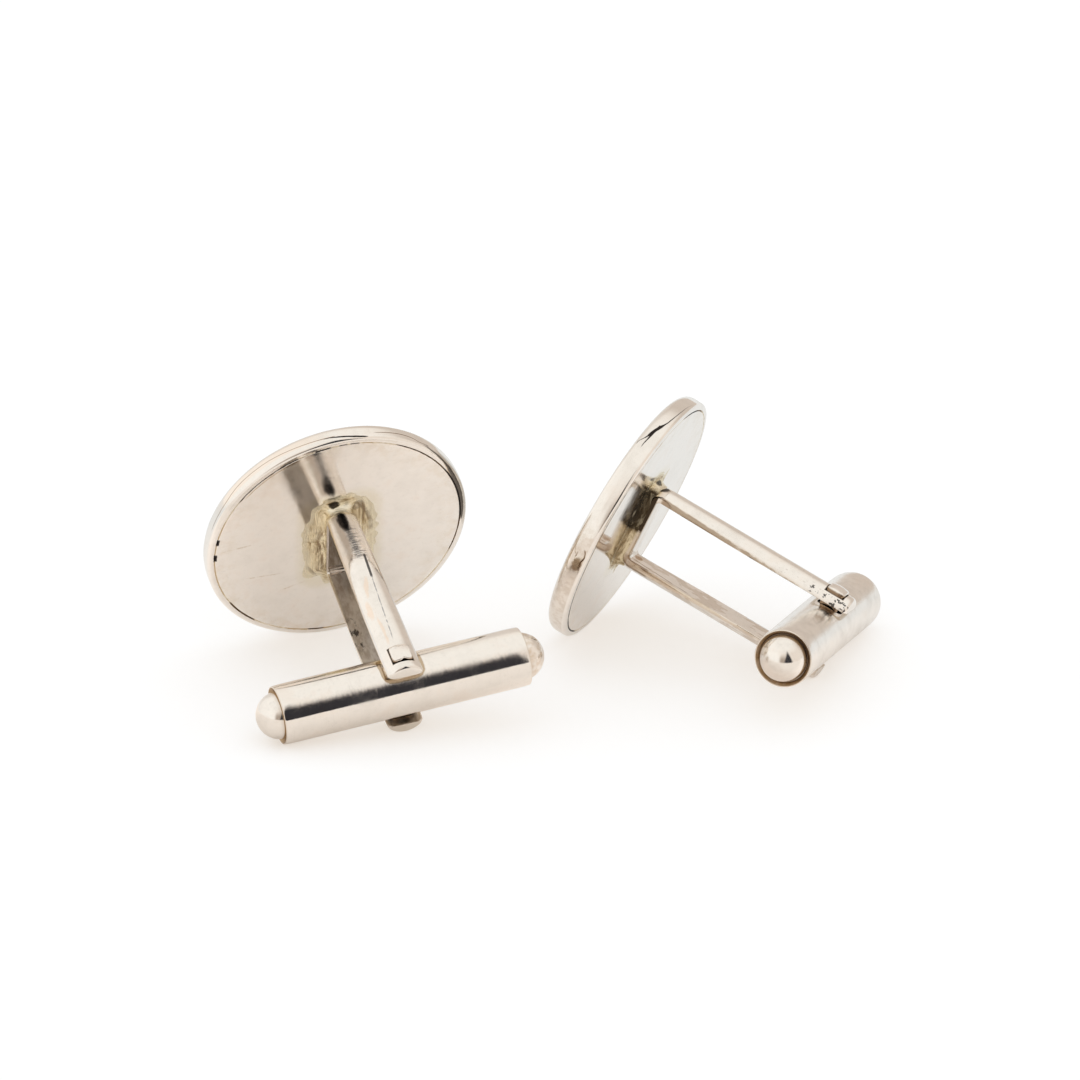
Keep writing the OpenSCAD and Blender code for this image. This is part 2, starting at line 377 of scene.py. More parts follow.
# Marks of named masks: the table gives each its strength and its tint, a colour or the name of one
def tinted(masks, table):
    marks = [(mask * table[name][0], table[name][1]) for name, mask in masks.items()]
    return [(mask, silverLook.get(tint, tint)) for mask, tint in marks]


# A metal finish; height is a wire in millimetres
def metal(sheet, colour, roughness, height, constants=None):
    surface = sheet.add("ShaderNodeBsdfPrincipled", None, {
        "Base Color": rgba(colour), "Metallic": 1.0, "Roughness": roughness,
        "Normal": sheet.bump(height, 1.0), **(constants or {}),
    })
    sheet.add("ShaderNodeOutputMaterial", None, {0: surface})


def newMaterial(name):
    material = bpy.data.materials.new(name)
    material.use_nodes = True
    return material, Sheet(material)


# Camera: a long lens low over the table
cameraLook = {
    "focalPixels": 14000, "framePixels": 1080, "sensor": 36.0,
    "elevation": 23.295, "roll": -2.6308, "distance": 1.0046806, "aim": (-0.0004358, 0.0233156, 0.0),
    "clip": (0.05, 50.0),
}


def placeCamera(look):
    rise, roll = math.radians(look["elevation"]), math.radians(look["roll"])
    ahead = np.array([0, math.cos(rise), -math.sin(rise)])
    level = np.array([1.0, 0, 0])
    down = np.cross(ahead, level)
    right = math.cos(roll) * level + math.sin(roll) * down
    up = math.sin(roll) * level - math.cos(roll) * down
    lens = bpy.data.cameras.new("camera")
    lens.sensor_width = look["sensor"]
    lens.lens = look["sensor"] * look["focalPixels"] / look["framePixels"]
    lens.clip_start, lens.clip_end = look["clip"]
    camera = bpy.data.objects.new("camera", lens)
    scene.collection.objects.link(camera)
    place = np.eye(4)
    place[:3, :3] = np.column_stack([right, up, -ahead])
    place[:3, 3] = np.array(look["aim"]) - ahead * look["distance"]
    camera.matrix_world = Matrix(place.tolist())
    scene.camera = camera


placeCamera(cameraLook)
print("camera placed")

# Light: a white tent all round with one dark opening beside the camera, which only the metal shows.
# Azimuths are in degrees from the camera's side, positive towards +X. A patch is its azimuth (middle,
# reach and fade), the heights where it is gone and whole, and its colour
tent = {
    "light": 1.04, "right": (0.86, 0.78, 0.70), "left": (1.02, 0.99, 0.94), "leftFrom": (-0.1, 0.6),
    "behind": [
        ((180, 25, 30), (55, 25), (0.79, 0.74, 0.685)), ((150, 25, 25), (50, 28), (0.66, 0.58, 0.51)),
    ],
    "top": (0.97, 0.94, 0.89), "topFrom": (0.55, 0.95),
    "besideOpening": [((-2, 9, 15), (45, 12), (0.43, 0.36, 0.30))],
    "opening": (0.034, 0.032, 0.036), "openingMiddle": 23.0, "openingHalf": 22.0, "openingHeight": 70.0,
    "openingFade": 3.5, "openingTop": (1.0, 0.5),
}


def hangTent(look):
    world = bpy.data.worlds.new("tent")
    world.use_nodes = True
    scene.world = world
    sheet = Sheet(world)
    x, y, z = sheet.axes(sheet.add("ShaderNodeTexCoord", output="Generated"))
    turn = x.maths("ARCTAN2", y * -1) * (180 / math.pi)
    rise = z.maths("ARCSINE") * (180 / math.pi)
    behind, beside = (
        [(turn.arc(*azimuth) * rise.step(*heights), colour) for azimuth, heights, colour in look[name]]
        for name in ("behind", "besideOpening")
    )
    wall = sheet.blend((x * -1).step(*look["leftFrom"]), look["right"], look["left"])
    wall = stained(sheet, wall, [*behind, (z.step(*look["topFrom"]), look["top"]), *beside])
    # the opening is a tall triangle whose sides close towards its top
    share = rise / look["openingHeight"]
    away = abs(turn - look["openingMiddle"]) - (1 - share) * look["openingHalf"]
    opening = away.step(0, -look["openingFade"]) * share.step(*look["openingTop"])
    shown = sheet.blend(opening, wall, look["opening"])
    rays = sheet.add("ShaderNodeLightPath").socket.node.outputs
    glossy, camera = Wire(sheet, rays["Is Glossy Ray"]), Wire(sheet, rays["Is Camera Ray"])
    even = (look["light"],) * 3
    colour = sheet.blend(camera, sheet.blend(glossy, even, shown), (1.0, 1.0, 1.0))
    back = sheet.add("ShaderNodeBackground", None, {"Color": colour, "Strength": 1.0})
    sheet.add("ShaderNodeOutputWorld", None, {0: back})


hangTent(tent)

# Floor: white to the camera with a soft warm shadow, and a little warm in the metal's reflections.
# Each look is a share that glows and a share that the light falls on
floorLook = {
    "half": 3.0, "seenGlow": (0.60, 0.52, 0.44), "seenLit": (0.42, 0.50, 0.58),
    "frontGlow": (0.25, 0.23, 0.21), "frontLit": (0.84, 0.77, 0.71),
    "backGlow": (0.20, 0.20, 0.20), "backLit": (0.63, 0.635, 0.625), "turnsAt": (-0.02, 0.03),
    # painted shade: past nearFrom, towards the camera, the floor is darker where only the metal sees it
    "nearGlow": (0.205, 0.19, 0.174), "nearLit": (0.69, 0.64, 0.59), "nearFrom": (-0.006, -0.014),
}


def layFloor(look):
    half = look["half"]
    mesh = bpy.data.meshes.new("floor")
    corners = [(-half, -half, 0), (half, -half, 0), (half, half, 0), (-half, half, 0)]
    mesh.from_pydata(corners, [], [(0, 1, 2, 3)])
    floor = bpy.data.objects.new("floor", mesh)
    scene.collection.objects.link(floor)
    material, sheet = newMaterial("whiteTable")
    _, y, _ = sheet.axes(sheet.add("ShaderNodeTexCoord", output="Object"))
    rays = sheet.add("ShaderNodeLightPath").socket.node.outputs
    glossy, camera = Wire(sheet, rays["Is Glossy Ray"]), Wire(sheet, rays["Is Camera Ray"])
    backwards = y.step(*look["turnsAt"])
    # painted shade in the reflections, towards the camera
    near = y.step(*look["nearFrom"])

    # what the camera sees, what the metal mirrors, and what every other ray meets
    def shown(kind, plain):
        mirrored = sheet.blend(backwards, look["front" + kind], look["back" + kind])
        mirrored = sheet.blend(near, mirrored, look["near" + kind])
        return sheet.blend(glossy, sheet.blend(camera, plain, look["seen" + kind]), mirrored)

    plain = tuple(np.add(look["seenGlow"], look["seenLit"]) / tent["light"])
    shine = sheet.add("ShaderNodeEmission", None, {"Color": shown("Glow", (0, 0, 0)), "Strength": 1.0})
    surface = sheet.add("ShaderNodeBsdfDiffuse", None, {"Color": shown("Lit", plain)})
    both = sheet.add("ShaderNodeAddShader", None, {0: shine, 1: surface})
    sheet.add("ShaderNodeOutputMaterial", None, {0: both})
    mesh.materials.append(material)


layFloor(floorLook)
print("tent and floor made")

# Silver, and what wear leaves on it; lengths in millimetres. A noise is given by its scale, detail and
# roughness, and a pair of values by where a tone begins and where it is whole
silverLook = {
    "silver": (0.93, 0.895, 0.85), "dull": (0.76, 0.715, 0.66), "rosy": (0.88, 0.79, 0.71),
    "tan": (0.56, 0.42, 0.25), "brown": (0.26, 0.17, 0.10), "soot": (0.030, 0.024, 0.022),
    "polished": 0.06, "worn": 0.20, "grainRoughness": 0.06, "seedStep": (7.3, 3.1, 5.7),
    "patch": (0.55, 4.0, 0.6), "grain": (1.0, 4.0, 0.65), "mottle": (3.2, 3.0, 0.7),
    "wave": (0.45, 2.0, 0.5), "ragged": (2.6, 3.0, 0.7),
    "waveHeight": 0.010, "scratchHeight": 0.0007, "mottleHeight": 0.0012,
    "dullPatch": (0.42, 0.72), "rosyPatch": (0.5, 0.3), "wornPatch": (0.4, 0.8),
    "dullMottle": (0.5, 0.8), "dullGrain": (0.55, 0.85), "rosyShare": 0.35, "mottleShare": 0.30,
}


# Silver that has been handled: dull and rosy patches, low polishing waves, and fine scratches that run
# along the stretch. Returns colour, roughness and height
def wornSilver(sheet, point, look, stretch, seed, dullness):
    moved = sheet.shifted(point, tuple(seed * step for step in look["seedStep"]))
    patch, mottle = sheet.noise(moved, *look["patch"]), sheet.noise(moved, *look["mottle"])
    grain = sheet.noise(sheet.stretched(moved, stretch), *look["grain"])
    colour = sheet.blend(patch.step(*look["dullPatch"]) * dullness, look["silver"], look["dull"])
    colour = sheet.blend(patch.step(*look["rosyPatch"]) * look["rosyShare"], colour, look["rosy"])
    colour = sheet.blend(mottle.step(*look["dullMottle"]) * look["mottleShare"], colour, look["dull"])
    colour = sheet.blend(grain.step(*look["dullGrain"]) * dullness, colour, look["dull"])
    rough = patch.step(*look["wornPatch"]) * (look["worn"] - look["polished"])
    rough = rough + grain.stray(look["grainRoughness"]) + look["polished"]
    waves = sheet.noise(moved, *look["wave"]).stray(look["waveHeight"])
    return colour, rough, waves + grain.stray(look["scratchHeight"]) + mottle.stray(look["mottleHeight"])


# Marks along the seam of each head: angle of the middle, half angle and fade in degrees, how far
# outside the seam's middle they lie, half width and blur, and the tint. Dark ones are open seam
seamMarks = {
    "left": [
        (179.5, 22, 3, 0, 0.02, 0.03, "tan"), (168.1, 1.3, 0.8, -0.05, 0.09, 0.05, "soot"),
        (177.7, 1.5, 0.8, -0.05, 0.10, 0.05, "soot"), (-141.5, 8, 2, 0, 0.045, 0.04, "brown"),
        (126, 15, 3, 0, 0.035, 0.03, "brown"), (124, 13, 4, -0.19, 0.015, 0.03, "tan"),
        (113, 3, 2, 0.02, 0.05, 0.03, "soot"), (96.9, 3, 1, 0, 0.05, 0.03, "soot"),
        (87.5, 1.2, 1, 0, 0.03, 0.03, "brown"), (82, 1.5, 1, 0, 0.03, 0.03, "brown"),
        (76, 2, 1, 0, 0.03, 0.03, "tan"), (26, 33, 4, 0, 0.035, 0.03, "brown"),
        (12, 16, 3, 0.02, 0.04, 0.03, "soot"), (-14, 9, 3, 0, 0.02, 0.03, "brown"),
        (-103, 10, 2, 0.01, 0.03, 0.04, "tan"), (-100, 3, 1, 0.01, 0.03, 0.03, "brown"),
    ],
    "right": [
        (-154, 52, 3, 0, 0.05, 0.03, "soot"), (170, 16, 4, 0.06, 0.04, 0.03, "soot"),
        (172, 22, 5, -0.11, 0.03, 0.04, "tan"), (128.5, 6, 2, 0, 0.04, 0.04, "tan"),
        (83.5, 14, 3, 0, 0.05, 0.03, "brown"), (88, 7, 2, 0, 0.06, 0.03, "soot"),
        (143, 7, 3, 0, 0.015, 0.03, "tan"),
    ],
    "stray": 0.10,
}


def angleOf(y, x):
    return y.maths("ARCTAN2", x) * (180 / math.pi)


# The stains that these marks leave on whatever lies at the seam
def seamStains(side, sizes, radius, angle, ragged):
    outside = radius + ragged.stray(seamMarks["stray"]) - (sizes["plateR"] + sizes["seatR"]) / 2
    return [
        (angle.arc(at, half, fade) * outside.near(offset, width, blur), silverLook[tint])
        for at, half, fade, offset, width, blur, tint in seamMarks[side]
    ]


shellLook = {
    "round": 0.68, "lipRound": 0.28, "sheet": 0.45, "ledge": 0.35, "steps": 360, "stepLength": 0.3,
    "bulge": 0.01, "bulgeRound": 2.0, "seatRounds": (0.035, 0.02), "insideRounds": (0.05, 0.1),
    "grain": (1.5, 1.5, 9.0), "dullness": 0.35, "seed": {"left": 1, "right": 2},
    # Painted reflections: dark lines on the side wall, (angle, height) and (angle, half width) for each
    "paintedReflectionLines": {
        "left": [
            (((94, -0.52), (106, -0.60), (130, -0.76), (148, -0.55), (162, -0.42)),
             ((90, 0), (96, 0.02), (118, 0.018), (140, 0.02), (156, 0.015), (164, 0)), "brown"),
            (((76, -0.14), (81, -0.20), (87, -0.34), (93, -0.48)),
             ((76, 0), (80, 0.05), (87, 0.06), (92, 0.03), (96, 0)), "soot"),
            (((50, -0.34), (60, -0.60), (72, -0.50)), ((44, 0), (56, 0.02), (66, 0.02), (74, 0)), "brown"),
        ],
        "right": [
            (((91, -0.28), (111.5, -0.47), (116.5, -0.66), (120.6, -0.84), (124.7, -1.0), (129, -1.36)),
             ((86, 0), (106, 0.016), (114, 0.04), (119, 0.11), (122, 0.11), (125, 0.045), (131, 0)), "soot"),
            (((119, -0.80), (125, -0.86), (129, -0.92)),
             ((116, 0), (122, 0.06), (127, 0.03), (132, 0)), "soot"),
        ],
    },
    "lineStray": 0.05, "lineBlur": (0.025, -0.005), "lineStart": (0.0, 0.01), "lineRadius": (9.2, 9.3),
    "seamDepth": (-0.75, -0.6),
}


# Side wall, front and lip of the shell: a section turned round Z, from the front's middle to the inside
def makeShell(side, link, sizes, look):
    outer, depth, seat, plateT = sizes["faceR"], sizes["headT"], sizes["seatR"], sizes["plateT"]
    ledge, inside = sizes["plateR"] - look["ledge"], look["sheet"] - depth
    section = easedLine([
        (0, -depth, 0), (outer - look["bulge"], -depth, look["round"]),
        (outer, -depth / 2, look["bulgeRound"]), (outer - look["bulge"], 0, look["lipRound"]),
        (seat, 0, look["seatRounds"][0]), (seat, -plateT, look["seatRounds"][1]),
        (ledge, -plateT, look["insideRounds"][0]), (ledge, inside, look["insideRounds"][1]), (0, inside, 0),
    ], look["stepLength"])
    piece = makePiece(side + "TurnedShell", link, [turned(section, look["steps"])])
    dress(piece, side + "_front_shell", shellFinish(side, link, sizes, look))


def dress(piece, nodeName, material):
    body = nodes[nodeName]["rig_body"]
    piece.data.materials.clear()
    piece.data.materials.append(material)
    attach(piece, body)
    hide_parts(nodeName)


def shellFinish(side, link, sizes, look):
    material, sheet = newMaterial(side + "ShellSilver")
    point = sheet.point(link)
    x, y, z = sheet.axes(point)
    radius, angle = (x * x + y * y) ** 0.5, angleOf(y, x)
    colour, rough, height = wornSilver(
        sheet, point, silverLook, look["grain"], look["seed"][side], look["dullness"],
    )
    ragged = sheet.noise(point, *silverLook["ragged"])
    stains = []
    # painted reflections: thin dark lines that follow the side wall
    for heights, widths, tint in look["paintedReflectionLines"][side]:
        away = abs(z + ragged.stray(look["lineStray"]) - angle.follow(heights))
        width = angle.follow(widths)
        mask = (away - width).step(*look["lineBlur"]) * width.step(*look["lineStart"])
        stains.append((mask * radius.step(*look["lineRadius"]), silverLook[tint]))
    if side == "left":
        stains += lipBand(lipLook, radius, angle, z, ragged)
    else:
        stains += wallMottle(wallLook, sheet, point, radius, angle, z, ragged)
    behind = z.step(*look["seamDepth"])
    stains += [(mask * behind, tint) for mask, tint in seamStains(side, sizes, radius, angle, ragged)]
    metal(sheet, stained(sheet, colour, stains), rough, height)
    return material


# The left lip's band: (angle, radius) of its middle and (angle, half width); an arc is middle, half
# angle and fade in degrees; each stain has a strength and a tint
lipLook = {
    "middle": ((-2, 9.12), (10, 9.15), (24, 9.20), (31, 9.31), (46, 9.47)),
    "halfWidth": ((-6, 0), (-1, 0.08), (12, 0.12), (24, 0.13), (32, 0.07), (50, 0)),
    "stray": 0.08, "depth": (-0.5, -0.4), "start": (0.0, 0.02), "blur": (0.03, -0.02),
    "greyArc": (16, 20, 6), "greyReach": (0.25, 0.1),
    "streakArc": (14, 16, 5), "streak": (-0.03, 0.02, 0.03),
    "flushArc": (124, 20, 14), "flushFrom": (-0.40, -0.52), "flush": (-0.75, 0.25, 0.25),
    "stains": {
        "flush": (0.4, (0.95, 0.79, 0.66)), "grey": (0.6, (0.48, 0.44, 0.39)),
        "streak": (0.8, (0.70, 0.55, 0.38)), "band": (0.92, (0.075, 0.062, 0.05)),
    },
}


# On the left lip: a graphite band that swells and ends abruptly, between a grey edge and a tan streak,
# and a warm flush on the wall
def lipBand(look, radius, angle, z, ragged):
    width = angle.follow(look["halfWidth"])
    away = radius + ragged.stray(look["stray"]) - angle.follow(look["middle"])
    onLip = z.step(*look["depth"])
    outside = (away - width).step(*look["greyReach"]) * away.step(*look["start"])
    band = (abs(away) - width).step(*look["blur"]) * width.step(*look["start"])
    return tinted({
        "flush": angle.arc(*look["flushArc"]) * z.step(*look["flushFrom"]) * z.near(*look["flush"]),
        "grey": outside * angle.arc(*look["greyArc"]) * onLip,
        "streak": (away + width).near(*look["streak"]) * angle.arc(*look["streakArc"]) * onLip,
        "band": band * onLip,
    }, look["stains"])


wallLook = {
    "depth": (-0.2, -0.3), "radius": (9.0, 9.3), "mottle": (1.7, 4.0, 0.7), "mottled": (0.42, 0.62),
    "mottleArc": (220, 38, 20), "baseArc": (218, 34, 14), "baseShare": 0.25, "mottleShare": 0.3,
    "smudgeAt": 190, "smudge": (0.5, -0.62, 3.2, 0.30), "smudgeStray": 0.4,
    "hookAt": (186, -0.55), "hookSquash": 0.0065, "hook": (0.24, 0.02, 0.035), "hookFrom": (-0.6, -0.4),
    "stains": {
        "mottle": (1.0, (0.62, 0.51, 0.40)), "hook": (1.0, "brown"), "smudge": (0.9, (0.27, 0.185, 0.11)),
    },
}


# On the right wall: a curl and a smudge of brown low on the left, and a tan mottle below it
def wallMottle(look, sheet, point, radius, angle, z, ragged):
    wall = z.step(*look["depth"]) * radius.step(*look["radius"])
    mottled = sheet.noise(point, *look["mottle"]).step(*look["mottled"]) * angle.arc(*look["mottleArc"])
    hookAngle, hookZ = look["hookAt"]
    hook = (angle.turnFrom(hookAngle) ** 2 * look["hookSquash"] + (z - hookZ) ** 2) ** 0.5
    base = angle.arc(*look["baseArc"]) * look["baseShare"]
    smudge = spot(angle.turnFrom(look["smudgeAt"]), z + ragged.stray(look["smudgeStray"]), look["smudge"])
    return tinted({
        "mottle": (base + mottled * look["mottleShare"]) * wall,
        "hook": hook.near(*look["hook"]) * z.step(*look["hookFrom"]), "smudge": smudge,
    }, look["stains"])


plateLook = {
    "edgeRound": 0.05, "underRound": 0.02, "steps": 360, "stepLength": 0.3,
    "grain": (1.6, 7.0, 1.0), "dullness": 0.22, "seed": {"left": 3, "right": 4},
    "roughnessShare": 0.6, "roughnessLeast": 0.05, "haloShare": 0.55,
    # Long scratches and smudges: middle x and y, half length and half width, and heading in degrees
    "scratches": {
        "left": [(-7.2, 0.9, 1.1, 0.06, 3), (-3.3, -4.0, 0.8, 0.06, 12), (-5.5, -2.4, 1.3, 0.05, -4)],
        "right": [(-2.6, -4.6, 0.9, 0.05, 70), (3.0, 6.0, 1.2, 0.04, 70)],
    },
    "scratchStray": 0.2, "scratchShown": (0.38, 0.60), "scratchShare": 0.4,
    "cloud": (0.9, 4.0, 0.7), "cloudMoved": (3.0, 8.0, 0.0), "cloudShown": (0.42, 0.66),
    "cloudRadius": (6.5, 9.2), "cloudShare": 0.30, "cloudTint": (0.72, 0.60, 0.44),
}


# The back plate: a disc with a lightly eased edge, turned round Z
def makePlate(side, link, sizes, look):
    section = easedLine([
        (0, -sizes["plateT"], 0), (sizes["plateR"], -sizes["plateT"], look["underRound"]),
        (sizes["plateR"], 0, look["edgeRound"]), (0, 0, 0),
    ], look["stepLength"])
    piece = makePiece(side + "PolishedPlate", link, [turned(section, look["steps"])])
    dress(piece, side + "_back_plate", plateFinish(side, link, sizes, look))


def plateFinish(side, link, sizes, look):
    material, sheet = newMaterial(side + "PlateSilver")
    point = sheet.point(link)
    x, y, _ = sheet.axes(point)
    radius, angle = (x * x + y * y) ** 0.5, angleOf(y, x)
    colour, rough, height = wornSilver(
        sheet, point, silverLook, look["grain"], look["seed"][side], look["dullness"],
    )
    ragged = sheet.noise(point, *silverLook["ragged"])
    stains = [(haloMask(side, x, y, ragged) * look["haloShare"], solderLook["halo"])]
    for midX, midY, halfL, halfW, heading in look["scratches"][side]:
        c, s = math.cos(math.radians(heading)), math.sin(math.radians(heading))
        along, across = (x - midX) * c + (y - midY) * s, (y - midY) * c - (x - midX) * s
        scratch = spot(along, across + ragged.stray(look["scratchStray"]), (0, 0, halfL, halfW))
        scratch = scratch * ragged.step(*look["scratchShown"]) * look["scratchShare"]
        stains.append((scratch, silverLook["tan"]))
    cloud = sheet.noise(sheet.shifted(point, look["cloudMoved"]), *look["cloud"]).step(*look["cloudShown"])
    stains.append((cloud * radius.step(*look["cloudRadius"]) * look["cloudShare"], look["cloudTint"]))
    stains += seamStains(side, sizes, radius, angle, ragged)
    rough = rough * look["roughnessShare"] + look["roughnessLeast"]
    metal(sheet, stained(sheet, colour, stains), rough, height)
    return material


rimLook = {
    "steps": 1440, "flush": 0.012, "sunk": 0.11, "waver": 0.006, "waves": (5, 40), "lap": 0.02,
    "seed": {"left": 11, "right": 12}, "openWithin": 0.1,
    "yellow": (0.66, 0.56, 0.40), "pale": (0.84, 0.76, 0.62), "paleFrom": (0.35, 0.65),
    "roughness": 0.4, "grainHeight": 0.01,
}


# The solder in the seam: a thin ring, nearly flush where it is whole and sunk along the dark marks
def makeRimSolder(side, link, sizes, look):
    angle = np.linspace(0, 2 * np.pi, look["steps"] + 1)
    opened = 0 * angle
    for at, half, fade, offset, _, _, tint in seamMarks[side]:
        away = np.abs((np.degrees(angle) - at + 180) % 360 - 180)
        dark = tint != "tan" and abs(offset) < look["openWithin"]
        opened = np.maximum(opened, np.clip((half + fade - away) / fade, 0, 1) * dark)
    top = -look["flush"] - (look["sunk"] - look["flush"]) * opened
    top = top + look["waver"] * waver(angle, *look["waves"], look["seed"][side])
    top[-1] = top[0]
    low, high = sizes["plateR"] - look["lap"], sizes["seatR"] + look["lap"]
    radii = np.array([low, low, high, high, low])[:, None]
    floor = 0 * top - sizes["plateT"] + look["lap"]
    heights = np.stack([floor, top, top, floor, floor])
    grid = np.stack([radii * np.cos(angle), radii * np.sin(angle), heights], axis=-1)
    piece = makePiece(side + "SeamSolder", link, [grid])
    material, sheet = newMaterial(side + "SeamFinish")
    point = sheet.point(link)
    x, y, _ = sheet.axes(point)
    ragged = sheet.noise(point, *silverLook["ragged"])
    colour = sheet.blend(ragged.step(*look["paleFrom"]), look["yellow"], look["pale"])
    stains = seamStains(side, sizes, (x * x + y * y) ** 0.5, angleOf(y, x), ragged)
    metal(sheet, stained(sheet, colour, stains), look["roughness"], ragged * look["grainHeight"])
    dress(piece, side + "_rim_solder", material)


forkLook = {
    "sectionPoints": 96, "cornerPower": 22.0, "innerShare": 0.45, "sharpAngle": 40,
    "tipCorner": 0.45, "tipRound": 0.34, "lowerTipRound": 0.30, "capShares": (0, 0.4, 0.8),
    "tipSteps": 12, "afterTip": (1.2, 1.4), "legSteps": 70, "bendSteps": 14, "footSteps": 8,
    "holeFlare": 0.05, "flareDepth": 0.08, "cutterPast": 0.5,
}


# Distance from a wire's inner point to its skin in each direction: the least of the distances to the
# flat, the two sides and the crown's circle, taken as a soft minimum so that the edges are eased
def wireSkin(angle, halfWidth, thickness, crownRadius, inner, power):
    c, s = np.cos(angle), np.sin(angle)
    toFlat = inner / np.maximum(-s, 1e-6)
    toSide = halfWidth / np.maximum(np.abs(c), 1e-6)
    offset = inner - (thickness - crownRadius)
    toCrown = -offset * s + np.sqrt(np.maximum((offset * s) ** 2 - offset ** 2 + crownRadius ** 2, 1e-9))
    return (toFlat ** -power + toSide ** -power + toCrown ** -power) ** (-1 / power)


# The fork: the half-round section carried down the upper leg, round the foot and up the lower leg
def makeFork(side, link, sizes, look):
    gap, thick, end = sizes["forkGap"] / 2, sizes["legT"], sizes["legEndZ"]
    bend, rootHalf, endHalf = sizes["bendR"], sizes["rootW"] / 2, sizes["endW"] / 2
    ease, foot = look["tipCorner"], look["footSteps"]
    quarter = np.linspace(0, np.pi / 2, look["tipSteps"])
    fromEnd = np.concatenate([ease * (1 - np.cos(quarter)), [ease * look["afterTip"][0]]])
    down = np.linspace(ease * look["afterTip"][1], end - bend - thick, look["legSteps"])
    past = np.concatenate([fromEnd, down])
    z = end - past
    y, ny, nz = gap + 0 * z, 1 + 0 * z, 0 * z
    turn = np.linspace(0, np.pi / 2, look["bendSteps"] + 1)[1:]
    y = np.concatenate([y, gap - bend + bend * np.cos(turn), np.linspace(gap - bend, 0, foot + 1)[1:]])
    z = np.concatenate([z, bend + thick - bend * np.sin(turn), np.full(foot, thick)])
    ny = np.concatenate([ny, np.cos(turn), np.zeros(foot)])
    nz = np.concatenate([nz, -np.sin(turn), -np.ones(foot)])
    past = np.concatenate([past, np.full(len(turn) + foot, end)])
    y, z, ny = (np.concatenate([a, b[-2::-1]]) for a, b in ((y, -y), (z, z), (ny, -ny)))
    nz, past = (np.concatenate([a, a[-2::-1]]) for a in (nz, past))
    halfWidth = rootHalf + (endHalf - rootHalf) * np.clip(z / sizes["wideZ"], 0, 1)

    # a rounded corner of radius r takes r - sqrt(r^2 - (r - d)^2) off the outline, at d from the end
    def taken(radius):
        return radius - np.sqrt(radius ** 2 - np.clip(radius - past, 0, radius) ** 2)

    halfWidth = (halfWidth - taken(look["tipCorner"]))[:, None]
    thickness = (thick - np.where(y > 0, taken(look["tipRound"]), taken(look["lowerTipRound"])))[:, None]
    angle = np.linspace(0, 2 * np.pi, look["sectionPoints"] + 1)[None, :]
    inner = thickness * look["innerShare"]
    skin = wireSkin(angle, halfWidth, thickness, sizes["crownR"], inner, look["cornerPower"])
    x, lift = skin * np.cos(angle), inner + skin * np.sin(angle)
    grid = np.stack([x, y[:, None] + ny[:, None] * lift, z[:, None] + nz[:, None] * lift], axis=-1)

    # each tip is closed by shrinking its last section to its middle
    def capped(row):
        middle = row[:-1].mean(axis=0)
        return np.stack([middle + (row - middle) * share for share in look["capShares"]])

    grid = np.concatenate([capped(grid[0]), grid, capped(grid[-1])[::-1]])
    piece = makePiece(side + "HalfRoundFork", link, [grid], look["sharpAngle"])
    cutOut(piece, holeCutter(side, link, sizes, look), look["sharpAngle"])
    dress(piece, side + "_fork", forkFinish(side, link, sizes, forkWear))


# The cutter of the square holes: a square section carried along the pin, flared at the legs' crowns
def holeCutter(side, link, sizes, look):
    half, out = sizes["holeW"] / 2, sizes["legOut"]
    flareAt, ends = out - look["flareDepth"], out + look["cutterPast"]
    stations = np.array([-ends, -flareAt, flareAt, ends])
    slope = look["holeFlare"] / look["flareDepth"]
    widths = half + np.maximum(np.abs(stations) - flareAt, 0) * slope
    corners = np.array([(-1, -1), (1, -1), (1, 1), (-1, 1), (-1, -1)])
    grid = np.stack([
        widths[:, None] * corners[None, :, 0], stations[:, None] + 0 * corners[None, :, 0],
        sizes["pinH"] + widths[:, None] * corners[None, :, 1],
    ], axis=-1)
    middle = grid.mean(axis=1, keepdims=True) + 0 * grid
    return makePiece(side + "HoleCutter", link, [np.concatenate([middle[:1], grid, middle[-1:]])])


# Wear that both forks share. A pair is where a zone begins and where it is whole: out from the flat,
# up from the foot, in from an edge or past the end; a grain is a stretch and then a noise
forkWear = {
    "grain": (9.0, 9.0, 0.7), "dullness": 0.45, "seed": {"left": 5, "right": 6},
    "ragged": ((2.0, 2.0, 0.7), (1.4, 4.0, 0.7)), "streaks": ((7.0, 1.0, 0.6), (1.0, 4.0, 0.7)),
    "leg": (2.0, 2.2), "crown": (0.3, 0.45), "edge": (0.10, 0.0), "edgeStray": 0.12, "edgeUp": (0.9, 1.4),
    "flat": (0.06, 0.02), "flatUp": (1.1, 1.4), "footUnder": (1.2, 1.0), "footOver": (0.80, 0.86),
    "footInside": (0.1, -0.1), "hole": (0.06, 0.0), "tip": (-0.09, -0.03),
    "stains": {"edge": (0.55, "tan"), "hole": (0.75, "brown"), "tip": (0.35, (0.60, 0.53, 0.43))},
}


